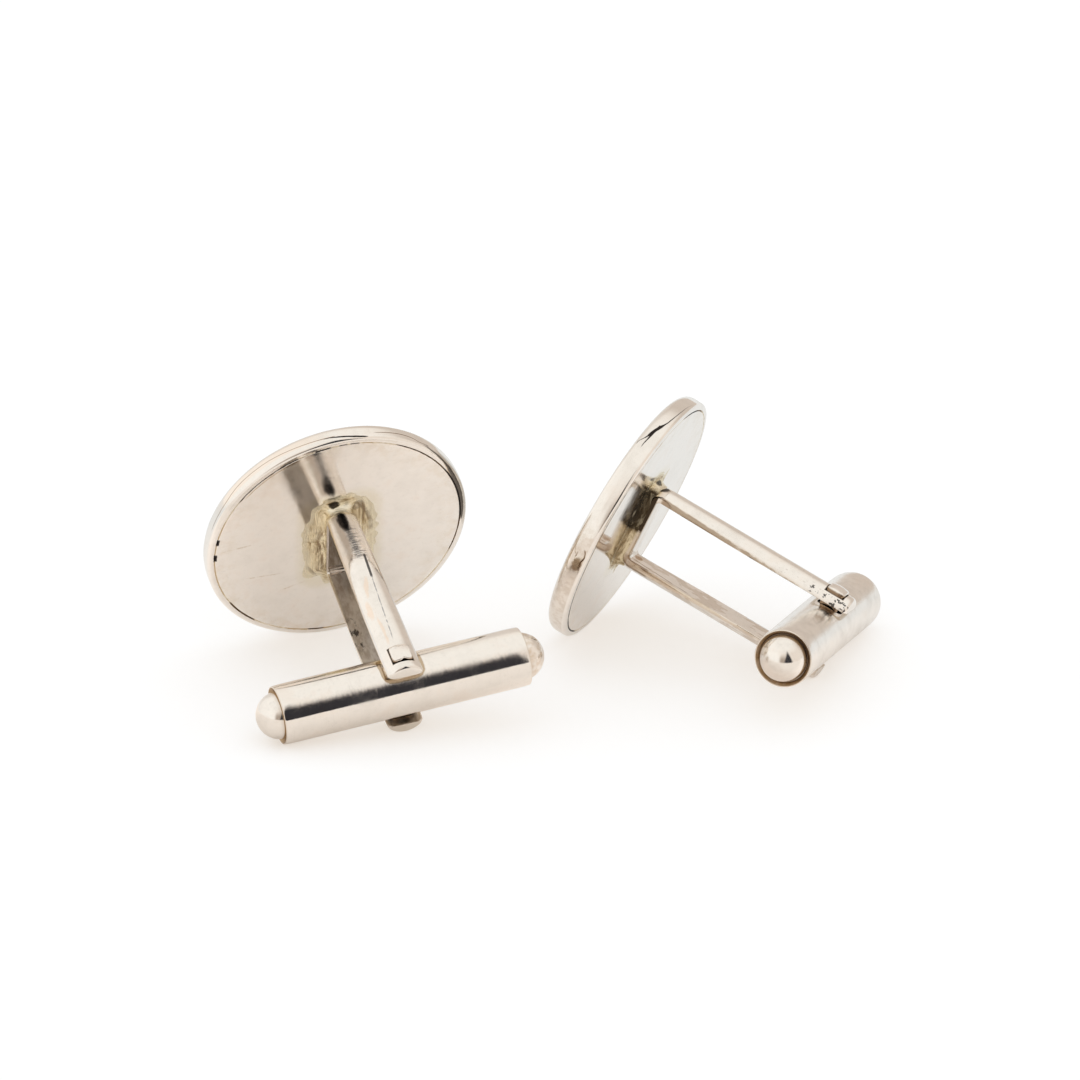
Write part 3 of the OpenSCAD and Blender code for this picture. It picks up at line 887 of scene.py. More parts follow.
# A fork's finish: brown in the holes and tan along the wire's edges, and then the wear of its own side
def forkFinish(side, link, sizes, look):
    material, sheet = newMaterial(side + "ForkSilver")
    point = sheet.point(link)
    x, y, z = sheet.axes(point)
    colour, rough, height = wornSilver(
        sheet, point, silverLook, look["grain"], look["seed"][side], look["dullness"],
    )
    ragged, streaks = sheet.grain(point, *look["ragged"]), sheet.grain(point, *look["streaks"])
    widening = (z / sizes["wideZ"]).maths("MINIMUM", 1.0) * ((sizes["endW"] - sizes["rootW"]) / 2)
    halfWidth = widening + sizes["rootW"] / 2
    upper, lower = y.step(*look["leg"]), (y * -1).step(*look["leg"])
    out = abs(y) - sizes["forkGap"] / 2
    crown = out.step(*look["crown"])
    edge = (halfWidth - abs(x) - ragged.stray(look["edgeStray"])).step(*look["edge"])
    edge = edge * z.step(*look["edgeUp"])
    fromHole = abs(x).maths("MAXIMUM", abs(z - sizes["pinH"])) - sizes["holeW"] / 2
    masks = tinted({
        "edge": edge, "hole": fromHole.step(*look["hole"]) * crown,
        "tip": (z - sizes["legEndZ"]).step(*look["tip"]) * lower,
    }, look["stains"])
    zones = {
        "upper": upper, "lower": lower, "crown": crown, "edge": edge, "halfWidth": halfWidth,
        "flat": out.step(*look["flat"]) * z.step(*look["flatUp"]),
        "foot": z.step(*look["footUnder"]) * out.step(*look["footInside"]) * z.step(*look["footOver"]),
    }
    if side == "left":
        marks, moreHeight, moreRough = leftForkMarks(leftForkWearAndShade, sheet, point, zones, ragged, streaks)
        rough, height = rough + moreRough, height + moreHeight
    else:
        marks = rightForkMarks(rightForkWear, sheet, point, (x, y, z), zones, ragged, streaks)
    metal(sheet, stained(sheet, colour, masks + marks), rough, height)
    return material


# Wear and painted shade of the left fork. A spot is an ellipse on the wire: middle across and up, and half
# sizes; a band is middle, half width and blur
leftForkWearAndShade = {
    "footStreaks": (0.3, 0.6), "brownFrom": (0.62, 0.38), "brownShares": (0.40, 0.22),
    "blot": ((1.6, 1.6, 1.0), (1.9, 3.0, 0.7)), "blotFrom": (0.52, 0.57), "blotch": (-0.85, 7.3, 0.42, 1.5),
    # rosy spots, each with its slant and how far its edge strays
    "rosy": [
        ((1.25, 8.3, 0.16, 0.9), 0.2, 0.5), ((-0.8, 10.4, 0.2, 0.8), 0, 0.5),
        ((-0.5, 12.6, 0.12, 1.2), 0, 0.4),
    ],
    # painted reflection: a near-black blob at the root of the upper crown, drawn with the soot tint
    "soot": (-0.12, 1.75, 0.36, 0.90), "sootStray": (0.4, 0.6),
    "ribs": ((1.6, 1.6, 7.0), (1.0, 3.0, 0.7)), "ribsFrom": (0.50, 0.56), "ribHeight": 0.03,
    "crossedX": (0.15, 0.30, 0.35), "crossedZ": (3.9, 1.2, 0.7), "crossedStray": 0.5,
    # a painted shadow line that drifts across the crown: slant, height where it has no drift, and stray; it
    # is thick low down and thin above
    "drift": (0.055, 5.75, 0.10), "thickX": (0.33, 0.07, 0.04), "thickZ": (6.3, 1.0, 0.3),
    "thinX": (0.33, 0.02, 0.035), "thinZ": (10.2, 2.8, 0.8), "thinFrom": (0.40, 0.52),
    # painted shade along the right side of the upper leg's wire
    "shadedRightEdge": (0.26, 0.10), "rightEdgeStray": 0.2, "rightEdgeUp": (0.9, 1.6),
    "root": (5.5, 4.8), "rootStreaks": (0.35, 0.65), "flatRough": 0.25, "rootRough": 0.12,
    "stains": {
        "foot": (0.35, (0.30, 0.23, 0.17)), "shadedFlat": (1.0, (0.36, 0.28, 0.21)),
        "blotch": (0.85, "soot"), "rosy": (0.5, (0.93, 0.73, 0.57)), "root": (0.3, (0.80, 0.69, 0.57)),
        "shadedRightEdge": (0.45, (0.42, 0.33, 0.26)), "crossed": (0.55, (0.20, 0.18, 0.18)),
        "soot": (0.97, "soot"), "thick": (0.93, (0.06, 0.055, 0.055)), "thin": (0.7, (0.20, 0.21, 0.23)),
    },
}


# The left fork: painted shade on the foot and the lower leg's flat between the legs, a painted dark
# reflection at the root, painted shade along the right edge, cross scratches and a painted shadow line
# drifting along the crown. Returns its marks, and what they add to height and roughness
def leftForkMarks(look, sheet, point, zones, ragged, streaks):
    x, _, z = sheet.axes(point)
    upperCrown, lowerFlat = zones["upper"] * zones["crown"], zones["flat"] * zones["lower"]
    brownMost, brownLeast = look["brownShares"]
    blot = sheet.grain(point, *look["blot"]).step(*look["blotFrom"])
    rosy = sum(spot(x + z * slant + ragged.stray(stray), z, mark) for mark, slant, stray in look["rosy"])
    sootX, sootZ = look["sootStray"]
    ribs = sheet.grain(point, *look["ribs"])
    crossed = (x + ragged.stray(look["crossedStray"])).near(*look["crossedX"]) * z.near(*look["crossedZ"])
    crossed = crossed * upperCrown
    slant, level, stray = look["drift"]
    drift = x + (z - level) * slant + ragged.stray(stray)
    fromRight = zones["halfWidth"] - x - ragged.stray(look["rightEdgeStray"])
    root = z.step(*look["root"]) * upperCrown
    thin = drift.near(*look["thinX"]) * z.near(*look["thinZ"]) * ragged.step(*look["thinFrom"])
    marks = tinted({
        # painted shade: the foot's inner face and the lower leg's inner flat are browned, in the gap between
        # the legs
        "foot": zones["foot"] * (streaks.step(*look["footStreaks"]) + 1),
        "shadedFlat": lowerFlat * (ragged.step(*look["brownFrom"]) * brownMost + brownLeast),
        "blotch": blot * spot(x, z, look["blotch"]) * lowerFlat, "rosy": rosy * upperCrown,
        "root": root * streaks.step(*look["rootStreaks"]),
        # painted shade along the right side of the upper leg
        "shadedRightEdge": fromRight.step(*look["shadedRightEdge"]) * zones["upper"] * z.step(*look["rightEdgeUp"]),
        "crossed": crossed * ribs.step(*look["ribsFrom"]),
        # painted reflection of the dark opening at the root of the crown
        "soot": spot(x + ragged.stray(sootX), z + ragged.stray(sootZ), look["soot"]) * upperCrown,
        # painted shadow line along the crown: thick low down, thin above
        "thick": drift.near(*look["thickX"]) * z.near(*look["thickZ"]) * upperCrown,
        "thin": thin * upperCrown,
    }, look["stains"])
    moreRough = lowerFlat * look["flatRough"] + root * look["rootRough"]
    return marks, ribs * crossed * look["ribHeight"], moreRough


# Wear of the right fork
rightForkWear = {
    "footStreaks": (0.42, 0.62), "footLeft": (0.62, 0.86), "footSide": (0.97, 1.01),
    "footSideTop": (0.90, 0.84), "soiledFrom": (-0.4, 0.0), "soiledTo": (3.1, 2.8), "soiledStray": 0.8,
    "edge": (0.4, 0.9),
    # a dark line along the lower flat, with its slant
    "lineSlant": 0.09, "lineX": (-0.38, 0.03, 0.04), "lineZ": (3.2, 2.2, 0.8), "lineFrom": (0.36, 0.46),
    "pits": [(-0.2, 13.9, 0.10, 0.14), (-0.7, 15.1, 0.12, 0.16), (-1.0, 16.2, 0.10, 0.12)],
    "cellStretch": (2.2, 2.2, 1.4), "cellScale": 1.6, "cellFrom": (0.30, 0.16), "grimeShares": (0.6, 0.35),
    "grimeUp": (2.0, 5.0), "grimeFrom": (0.4, 0.6), "brownSpot": (0.2, 1.35, 0.34, 0.28),
    "soot": (-0.20, 0.78, 0.36, 0.40), "sootStray": (0.7, 0.6),
    "bendLineX": (-1.0, 0.03, 0.05), "bendLineZ": (1.6, 0.8, 0.4),
    "besideHole": (0.84, 0.90), "besideHoleUp": (13.0, 13.6),
    "specks": (3.6, 2.0, 0.6), "specksFrom": (0.56, 0.62),
    "patches": ((1.0, 1.0, 0.5), (1.1, 3.0, 0.6)), "tanFrom": (0.48, 0.56), "paleFrom": (0.42, 0.30),
    "crownStreaks": (0.45, 0.7),
    "stains": {
        "foot": (0.6, (0.64, 0.53, 0.40)), "footLeft": (0.55, (0.42, 0.32, 0.21)), "edge": (0.6, "brown"),
        "footSide": (0.6, (0.48, 0.38, 0.25)), "soiled": (0.97, (0.035, 0.022, 0.011)),
        "tanPatches": (0.45, (0.58, 0.46, 0.35)), "bendLine": (0.85, "brown"),
        "palePatches": (0.5, (0.93, 0.91, 0.88)), "grime": (0.5, (0.30, 0.23, 0.17)),
        "line": (0.8, "brown"), "pits": (0.8, "soot"), "brownSpot": (0.8, (0.42, 0.27, 0.14)),
        "soot": (0.95, "soot"), "specks": (0.9, "soot"), "lowerCrown": (0.45, (0.50, 0.40, 0.30)),
    },
}


# The right fork: soiled foot, soot at the root, grime in cells and patches on the lower leg, and specks
# beside the upper hole
def rightForkMarks(look, sheet, point, place, zones, ragged, streaks):
    x, y, z = place
    upper, lower, foot = zones["upper"], zones["lower"], zones["foot"]
    lowerFlat = lower * zones["flat"]
    footSide = (x * -1).step(*look["footSide"]) * z.step(*look["footSideTop"])
    soiled = (y + ragged.stray(look["soiledStray"])).step(*look["soiledFrom"]) * y.step(*look["soiledTo"])
    line = (x + z * look["lineSlant"]).near(*look["lineX"]) * z.near(*look["lineZ"])
    pits = sum(spot(x, z, pit) for pit in look["pits"])
    cells = sheet.cells(sheet.stretched(point, look["cellStretch"]), look["cellScale"])
    lowerShare, upperShare = look["grimeShares"]
    grime = cells.step(*look["cellFrom"]) * (lower * lowerShare + upper * upperShare)
    grime = grime * z.step(*look["grimeUp"]) * ragged.step(*look["grimeFrom"])
    sootX, sootZ = look["sootStray"]
    soot = spot(x + ragged.stray(sootX), z + ragged.stray(sootZ), look["soot"])
    besideHole = (x * -1).step(*look["besideHole"]) * z.step(*look["besideHoleUp"]) * upper
    patches = sheet.grain(point, *look["patches"])
    return tinted({
        "foot": foot * streaks.step(*look["footStreaks"]),
        "footLeft": foot * (x * -1).step(*look["footLeft"]),
        "edge": zones["edge"].step(*look["edge"]) * upper, "footSide": footSide,
        "soiled": footSide * soiled, "tanPatches": patches.step(*look["tanFrom"]) * lower,
        "bendLine": x.near(*look["bendLineX"]) * z.near(*look["bendLineZ"]) * lower,
        "palePatches": patches.step(*look["paleFrom"]) * lowerFlat,
        "grime": grime, "line": line * lowerFlat * ragged.step(*look["lineFrom"]),
        "pits": pits * upper * zones["flat"], "brownSpot": spot(x, z, look["brownSpot"]) * lower,
        "soot": soot * upper * zones["crown"],
        "specks": sheet.noise(point, *look["specks"]).step(*look["specksFrom"]) * besideHole,
        "lowerCrown": lower * zones["crown"] * streaks.step(*look["crownStreaks"]),
    }, look["stains"])


# The patch of solder: middle and half sizes of its outline, and flares (angle, height, width) where it
# ran out over the plate. A pair of waves is their lowest and highest count round the patch
solderLook = {
    "rows": 24, "steps": 480, "height": 0.80, "power": 2.5, "sharpAngle": 60,
    "seed": {"left": 21, "right": 22}, "heightSeedStep": 50, "rippleSeedStep": 7,
    "outlineWaver": 0.045, "outlineWaves": (3, 22), "heightWaver": 0.07, "heightWaves": (2, 12),
    "waverMost": 0.6, "ripple": 0.035, "rippleWaves": (3, 9), "flarePower": 1.4, "crowding": 1.3,
    "insideX": 0.01, "insideY": 0.07, "insidePower": 5, "inward": 0.45,
    "patch": {"left": (0.15, -0.22, 2.70, 4.15), "right": (0.0, 0.0, 1.92, 4.05)},
    "flares": {
        "left": [(40, 0.25, 14), (228, 0.35, 14)],
        "right": [(60, 1.35, 5.0), (-76, 1.15, 4.0), (118, 0.7, 7), (150, 0.4, 8)],
    },
    "halo": (0.80, 0.74, 0.58), "haloInset": 1.3, "haloReach": (2.1, 1.1), "haloStray": 0.5,
}


# Distance outside a box with rounded corners, from which the halo on the plate and the streaks are drawn
def boxAway(x, y, halfX, halfY):
    across, along = (abs(x) - halfX).floored(0.0), (abs(y) - halfY).floored(0.0)
    return (across * across + along * along) ** 0.5


def haloMask(side, x, y, ragged):
    midX, midY, halfX, halfY = solderLook["patch"][side]
    inset = solderLook["haloInset"]
    away = boxAway(x - midX, y - midY, halfX - inset, halfY - inset)
    return (away + ragged.stray(solderLook["haloStray"])).step(*solderLook["haloReach"])


# The solder round the foot: from an outline under the wire a hollow quarter ellipse falls to a
# superellipse on the plate; outline and height waver with the angle, and it is closed underneath
def makeForkSolder(side, link, sizes, look):
    seed = look["seed"][side]
    midX, midY, halfX, halfY = look["patch"][side]
    turn = np.linspace(0, 2 * np.pi, look["steps"] + 1)
    c, s = np.abs(np.cos(turn)), np.abs(np.sin(turn))
    outer = ((c / halfX) ** look["power"] + (s / halfY) ** look["power"]) ** (-1 / look["power"])
    outer = outer * (1 + look["outlineWaver"] * waver(turn, *look["outlineWaves"], seed))
    for at, out, width in look["flares"][side]:
        away = (np.degrees(turn) - at + 180) % 360 - 180
        outer = outer + out * np.exp(-np.abs(away / width) ** look["flarePower"])
    insideX, insideY = sizes["rootW"] / 2 - look["insideX"], sizes["legOut"] - look["insideY"]
    power = look["insidePower"]
    inner = ((c / insideX) ** power + (s / insideY) ** power) ** (-1 / power)
    rise = waver(turn, *look["heightWaves"], seed + look["heightSeedStep"])
    rise = np.minimum(rise, look["waverMost"])
    rise = look["height"] + look["heightWaver"] * rise
    share = np.linspace(0, 1, look["rows"])[:, None] ** look["crowding"]
    outX = inner * np.cos(turn) * (1 - share) + (outer * np.cos(turn) + midX) * share
    outY = inner * np.sin(turn) * (1 - share) + (outer * np.sin(turn) + midY) * share
    ripples = waver(turn * 2, *look["rippleWaves"], seed + look["rippleSeedStep"])
    ripples = look["ripple"] * (1 + ripples)
    heights = rise * (1 - np.sqrt(1 - (1 - share) ** 2)) + ripples * share * (1 - share)
    heights[-1] = 0
    under = (inner - look["inward"]) * np.stack([np.cos(turn), np.sin(turn)])
    outX, outY = (np.concatenate([u[None], o, u[None], u[None]]) for u, o in zip(under, (outX, outY)))
    heights = np.concatenate([heights[:1], heights, 0 * heights[:1], heights[:1]])
    grid = np.stack([outX, outY, heights], axis=-1)
    piece = makePiece(side + "FootSolder", link, [grid], look["sharpAngle"])
    dress(piece, side + "_fork_solder", solderFinish(side, link, sizes, solderWear))


# The solder's colours and the streaks in it; the other values are as for the fork's wear
solderWear = {
    "yellow": (0.86, 0.76, 0.54), "olive": (0.45, 0.33, 0.18), "shade": (0.22, 0.155, 0.095),
    "pit": (0.030, 0.024, 0.018), "cream": (0.96, 0.91, 0.76),
    "ragged": (2.2, 4.0, 0.7), "swirl": (1.6, 5.0, 0.7), "swirlOut": 3.4, "swirlRound": 0.018,
    "swirlUp": (1.5, 0.004), "footInset": 0.6, "yellowFrom": (0.36, 0.60), "shadeFrom": (0.42, 0.32),
    "shadeShare": 0.8, "patch": (0.7, 3.0), "creamFrom": (0.5, 0.7), "creamShare": 0.4,
    "rim": (0.07, 0.0), "rimStray": 0.05, "rimShare": 0.8,
    "swirlHeight": 0.07, "raggedHeight": 0.02, "pitDepth": 0.12, "roughest": 0.38, "swirlSmooths": 0.2,
}


# Pale sandy solder with streaks that follow the wire's outline, and a pale rim where it runs thin
def solderFinish(side, link, sizes, look):
    material, sheet = newMaterial(side + "PaleSolder")
    point = sheet.point(link)
    x, y, z = sheet.axes(point)
    ragged = sheet.noise(point, *look["ragged"])
    away = boxAway(x, y, sizes["rootW"] / 2, sizes["legOut"] - look["footInset"])
    angle, (up, roundUp) = angleOf(y, x), look["swirlUp"]
    flow = sheet.vector(away * look["swirlOut"], angle * look["swirlRound"], z * up + angle * roundUp)
    swirl = sheet.noise(flow, *look["swirl"])
    colour = sheet.blend(swirl.step(*look["yellowFrom"]), look["olive"], look["yellow"])
    colour = sheet.blend(swirl.step(*look["shadeFrom"]) * look["shadeShare"], colour, look["shade"])
    patch = sheet.noise(point, *look["patch"])
    colour = sheet.blend(patch.step(*look["creamFrom"]) * look["creamShare"], colour, look["cream"])
    if side == "left":
        marks, pits, rimShown = leftSolderMarks(leftSolderWearAndHighlight, x, y, z, ragged, swirl)
    else:
        marks, pits, rimShown = rightSolderMarks(rightSolderWearAndHighlight, x, y, z, ragged, swirl, away)
    colour = stained(sheet, colour, marks)
    rim = (z + ragged.stray(look["rimStray"])).step(*look["rim"]) * rimShown * look["rimShare"]
    colour = sheet.blend(rim, colour, solderLook["halo"])
    height = swirl * look["swirlHeight"] + ragged * look["raggedHeight"] - pits * look["pitDepth"]
    metal(sheet, colour, swirl * -look["swirlSmooths"] + look["roughest"], height)
    return material


leftSolderWearAndHighlight = {
    "hole": (-0.32, 3.42, 0.36, 0.13), "holeStray": (0.5, 0.15),
    "curl": (1.45, 2.85, 0.34, 0.30), "curlStray": 0.3, "curlPit": 0.6,
    # a trail bent outwards: its bend and the height about which it bends
    "trailBend": (0.13, 0.3), "trailX": (2.45, 0.07, 0.16), "trailY": (1.5, 1.1, 0.6),
    "trailFrom": (0.35, 0.50), "trailPit": 0.3,
    "crescentSlant": 0.567, "crescentX": (-3.60, 0.07, 0.14), "crescentY": (-3.15, 0.6, 0.4),
    "crescentPit": 0.4, "capY": (2.9, 3.2), "capZ": (0.2, 0.4),
    "besideX": (-1.35, 0.10, 0.28), "besideY": (-1.0, 1.6, 1.2), "besideFrom": (0.6, 0.4),
    "stains": {
        # the cap's cream is a painted highlight
        "cap": (0.85, solderWear["cream"]), "beside": (0.75, solderWear["shade"]),
        "crescent": (0.65, solderWear["shade"]), "trail": (0.75, solderWear["shade"]),
        "curl": (0.6, (0.30, 0.24, 0.17)), "hole": (0.97, solderWear["pit"]),
    },
}


# On the left: a pit hole and a curl by the upper leg, a trail and a crescent in the fillet, and a painted
# cream highlight on the cap. Returns the marks, how deep they are pitted and where the pale rim shows
def leftSolderMarks(look, x, y, z, ragged, swirl):
    holeX, holeY = look["holeStray"]
    hole = spot(x + ragged.stray(holeX), y + ragged.stray(holeY), look["hole"])
    curl = spot(x, y + ragged.stray(look["curlStray"]), look["curl"])
    bend, level = look["trailBend"]
    trail = (x + (y - level) * (y - level) * bend).near(*look["trailX"]) * y.near(*look["trailY"])
    trail = trail * ragged.step(*look["trailFrom"])
    crescent = (x + y * look["crescentSlant"]).near(*look["crescentX"]) * y.near(*look["crescentY"])
    marks = tinted({
        # painted highlight: cream on the cap where the fillet meets the upper leg
        "cap": y.step(*look["capY"]) * z.step(*look["capZ"]),
        "beside": x.near(*look["besideX"]) * y.near(*look["besideY"]) * swirl.step(*look["besideFrom"]),
        "crescent": crescent, "trail": trail, "curl": curl, "hole": hole,
    }, look["stains"])
    pits = hole + curl * look["curlPit"] + trail * look["trailPit"] + crescent * look["crescentPit"]
    return marks, pits, 1


rightSolderWearAndHighlight = {
    "reach": (0.98, 0.88), "reachLeft": (0.6, 0.9), "jaggedStray": 1.3, "darkFrom": (-0.5, 0.0),
    "darkTo": (3.2, 2.8), "brownSwirl": (0.6, 0.4), "brownShares": (0.5, 0.35),
    "darkSwirl": (0.66, 0.42), "darkShares": (0.2, 0.78),
    "bead": (-1.72, 3.62, 0.55, 0.50), "beadRise": 1.2,
    "cavity": (-0.25, 3.42, 0.34, 0.12), "cavityStray": 0.3,
    "junctionY": (2.9, 3.3), "junctionZ": (0.15, 0.35),
    "stains": {
        # the junction's cream is a painted highlight
        "brown": (1.0, (0.30, 0.22, 0.125)), "junction": (0.7, solderWear["cream"]),
        "dark": (1.0, (0.038, 0.025, 0.013)), "bead": (0.75, (0.30, 0.265, 0.225)),
        "cavity": (0.9, solderWear["pit"]),
    },
}


# On the right: the side of the fillet is dark above and brown below, with a bead and a cavity at the top,
# and a painted cream highlight at the junction
def rightSolderMarks(look, x, y, z, ragged, swirl, away):
    reach = away.step(*look["reach"]) * (x * -1).step(*look["reachLeft"])
    fromMiddle = (y + ragged.stray(look["jaggedStray"])).step(*look["darkFrom"])
    dark = reach * fromMiddle * y.step(*look["darkTo"])
    (brownMost, brownLeast), (darkMost, darkLeast) = look["brownShares"], look["darkShares"]
    bead = spot(x, y, look["bead"])
    cavity = spot(x + ragged.stray(look["cavityStray"]), y, look["cavity"])
    marks = tinted({
        "brown": reach * (1 - fromMiddle) * (swirl.step(*look["brownSwirl"]) * brownMost + brownLeast),
        # painted highlight: cream where the fillet meets the upper leg
        "junction": y.step(*look["junctionY"]) * z.step(*look["junctionZ"]),
        "dark": dark * (swirl.step(*look["darkSwirl"]) * darkMost + darkLeast),
        "bead": bead, "cavity": cavity,
    }, look["stains"])
    return marks, cavity - bead * look["beadRise"], 1 - dark


# share is what hammering and wear have left of the width of the pin and of its holes. The dent is the
# angle where the hammer left each head low, its width in degrees and its depth
pinLook = {
    "steps": 96, "edge": 0.10, "cornerPower": 26.0, "sharpAngle": 40, "share": 0.87, "domeR": 2.2,
    "dentAt": {"left": 82, "right": 265}, "dentWidth": 13, "dentDepth": 0.17,
    "waver": 0.012, "waves": (2, 9), "waverSeed": 31, "swellFrom": 0.25, "swellLength": 0.15,
    "capShares": (0.85, 9, 0.9, 4), "capDrop": 0.05, "sideRows": 10,
    "grain": (4.0, 4.0, 4.0), "seed": 7, "dullness": 0.3, "ragged": (2.5, 3.0), "raggedHeight": 0.04,
    "rootWide": (0.10, 0.02), "root": (0.04, -0.02),
    "stains": {"rootWide": (0.6, (0.36, 0.26, 0.16)), "root": (0.9, "brown")},
}


# The pin: a square section with eased corners carried along Y, closed by a dome at each end
def makePin(side, link, sizes, look):
    half, corner, out, dome = sizes["pinFlat"] / 2, sizes["pinCornerR"], sizes["pinOut"], look["domeR"]
    angle = np.linspace(0, 2 * np.pi, look["steps"] + 1)
    power, edge = look["cornerPower"], look["edge"]
    toFlats = [half / np.maximum(np.abs(f(angle)), 1e-6) for f in (np.cos, np.sin)]
    skin = (toFlats[0] ** -power + toFlats[1] ** -power + corner ** -power) ** (-1 / power)
    inMost, inRows, outLeast, outRows = look["capShares"]
    share = np.concatenate([np.linspace(0, inMost, inRows), np.linspace(outLeast, 1, outRows)])[:, None]
    dented = (np.degrees(angle) - look["dentAt"][side]) / look["dentWidth"]
    notch = 1 - look["dentDepth"] * np.exp(-dented ** 2)
    notch = notch + look["waver"] * waver(angle, *look["waves"], look["waverSeed"])
    notch[-1] = notch[0]
    headSkin = skin * notch
    distance = share * headSkin
    sag = dome - np.sqrt(dome ** 2 - distance ** 2)
    eased = edge * (1 - np.sqrt(1 - np.clip((distance - headSkin + edge) / edge, 0, 1) ** 2))
    capY = out - sag - eased
    sideY = np.linspace(capY[-1].min() - look["capDrop"], 0, look["sideRows"])[:, None] + 0 * angle
    swell = np.clip((sideY - (sizes["legOut"] - look["swellFrom"])) / look["swellLength"], 0, 1)
    distance = np.concatenate([distance, skin * (1 - swell) + headSkin * swell])
    along = np.concatenate([capY, sideY])
    distance, along = np.concatenate([distance, distance[-2::-1]]), np.concatenate([along, -along[-2::-1]])
    grid = np.stack([distance * np.cos(angle), along, sizes["pinH"] + distance * np.sin(angle)], axis=-1)
    piece = makePiece(side + "SquarePin", link, [grid], look["sharpAngle"])
    material, sheet = newMaterial(side + "PinSilver")
    point = sheet.point(link)
    colour, rough, height = wornSilver(
        sheet, point, silverLook, look["grain"], look["seed"], look["dullness"],
    )
    _, y, _ = sheet.axes(point)
    proud = abs(y) - sizes["legOut"]
    stains = tinted({name: proud.step(*look[name]) for name in look["stains"]}, look["stains"])
    height = height + sheet.noise(point, *look["ragged"]) * look["raggedHeight"]
    metal(sheet, stained(sheet, colour, stains), rough, height)
    dress(piece, side + "_pivot_pin", material)


# A tube's ends: the recess flares to a thin lip, and polishing has drawn the end in by endFall
tubeLook = {
    "lip": 0.07, "recess": 0.25, "endRound": 0.05, "endFall": 0.035, "fallLength": 0.9, "stepLength": 0.15,
    "boreRound": 0.02, "lipRound": 0.012, "boreWithin": 0.01,
    "steps": 240, "drillSteps": 96, "drillPast": 1.0,
}


# The swivel tube: its section turned round X, with a flared recess in each end and a hole for the pin.
# Its radius falls at each end by endFall * (share of the last stretch) squared
def makeTube(side, bar, sizes, look):
    half, outer, bore = sizes["tubeL"] / 2, sizes["tubeR"], sizes["boreR"]
    section = easedLine([
        (bore, 0, 0), (bore, half - look["recess"], look["boreRound"]),
        (outer - look["lip"], half, look["lipRound"]), (outer, half, look["endRound"]), (outer, 0, 0),
    ], look["stepLength"])
    fall = np.clip((section[:, 1] - (half - look["fallLength"])) / look["fallLength"], 0, 1) ** 2
    section[:, 0] -= look["endFall"] * fall * (section[:, 0] > bore + look["boreWithin"])
    section = np.concatenate([section, (section * (1, -1))[-2::-1]])
    piece = makePiece(side + "SwivelTube", bar, [turnedAlongX(section, look["steps"])])
    drill, reach = sizes["crossR"], outer + look["drillPast"]
    hole = np.array([(0, -reach), (drill, -reach), (drill, reach), (0, reach)])
    cutOut(piece, makePiece(side + "CrossDrill", bar, [turned(hole, look["drillSteps"])[..., [0, 2, 1]]]))
    dress(piece, side + "_swivel_tube", tubeFinish(side, bar, sizes, tubeWearAndShade))


# Wear and painted shade of the tubes: the values of the left and the right one stand side by side where they
# differ
tubeWearAndShade = {
    "grain": (11.0, 0.6, 0.6), "seed": {"left": 8, "right": 9}, "dullness": {"left": 0.3, "right": 0.6},
    "turning": ((5.0, 1.3, 1.3), (1.0, 5.0, 0.75)), "turningHeight": {"left": 0.003, "right": 0.006},
    "turningFrom": (0.5, 0.8), "turningRough": 0.05, "moreRough": {"left": 0.0, "right": 0.08},
    "ragged": (2.4, 4.0, 0.7), "inside": (-0.105, -0.135), "insideRough": 0.25, "lip": (-0.10, -0.02),
    "recess": (-0.30, -0.24), "recessFrom": (0.5, 0.72),
    # tarnish and painted shade round the end of each leg: half sizes, stray, half width and blur, and where
    # it is outwards
    "legHalf": (1.45, 1.14), "legStray": 0.12, "legRing": (1.0, 0.07, 0.06), "legOut": (1.2, 1.5),
    "dullPatch": (0.9, 4.0, 0.7), "dullFrom": (0.4, 0.65),
    "stains": {
        "lip": (0.25, "tan"), "tarnishAndShadeAboutLeg": (0.75, (0.42, 0.29, 0.14)), "inside": (1.0, (0.44, 0.31, 0.18)),
        "recess": (0.35, "soot"), "dulled": (0.35, "dull"),
    },
}


# Scratches run round the tube, its recesses and bore are brown with tarnish and painted shade, and tarnish
# and painted shade of the leg lie about each leg in a ring that is a rounded rectangle. The right tube is
# dulled in patches
def tubeFinish(side, bar, sizes, look):
    material, sheet = newMaterial(side + "TubeSilver")
    point = sheet.point(bar)
    x, y, z = sheet.axes(point)
    radius, fromEnd = (y * y + z * z) ** 0.5, abs(x) - sizes["tubeL"] / 2
    colour, rough, height = wornSilver(
        sheet, point, silverLook, look["grain"], look["seed"][side], look["dullness"][side],
    )
    turning = sheet.grain(point, *look["turning"])
    ragged = sheet.noise(point, *look["ragged"])
    # tarnish and painted shade: the bore and the recesses are brown, darker in patches in the recesses
    inside = (radius - sizes["tubeR"]).step(*look["inside"])
    # tarnish and painted shade of the leg: a ring about each leg's end
    halfX, halfZ = look["legHalf"]
    tarnishAndShadeAboutLeg = (((x / halfX) ** 2) ** 2 + ((z / halfZ) ** 2) ** 2) ** 0.25 + ragged.stray(look["legStray"])
    masks = {
        "lip": fromEnd.step(*look["lip"]),
        "tarnishAndShadeAboutLeg": tarnishAndShadeAboutLeg.near(*look["legRing"]) * abs(y).step(*look["legOut"]), "inside": inside,
        "recess": inside * fromEnd.step(*look["recess"]) * ragged.step(*look["recessFrom"]),
    }
    if side == "right":
        masks["dulled"] = sheet.noise(point, *look["dullPatch"]).step(*look["dullFrom"])
    rough = rough + turning.step(*look["turningFrom"]) * look["turningRough"] + look["moreRough"][side]
    height = height + turning.stray(look["turningHeight"][side])
    colour = stained(sheet, colour, tinted(masks, look["stains"]))
    metal(sheet, colour, rough + inside * look["insideRough"], height)
    return material


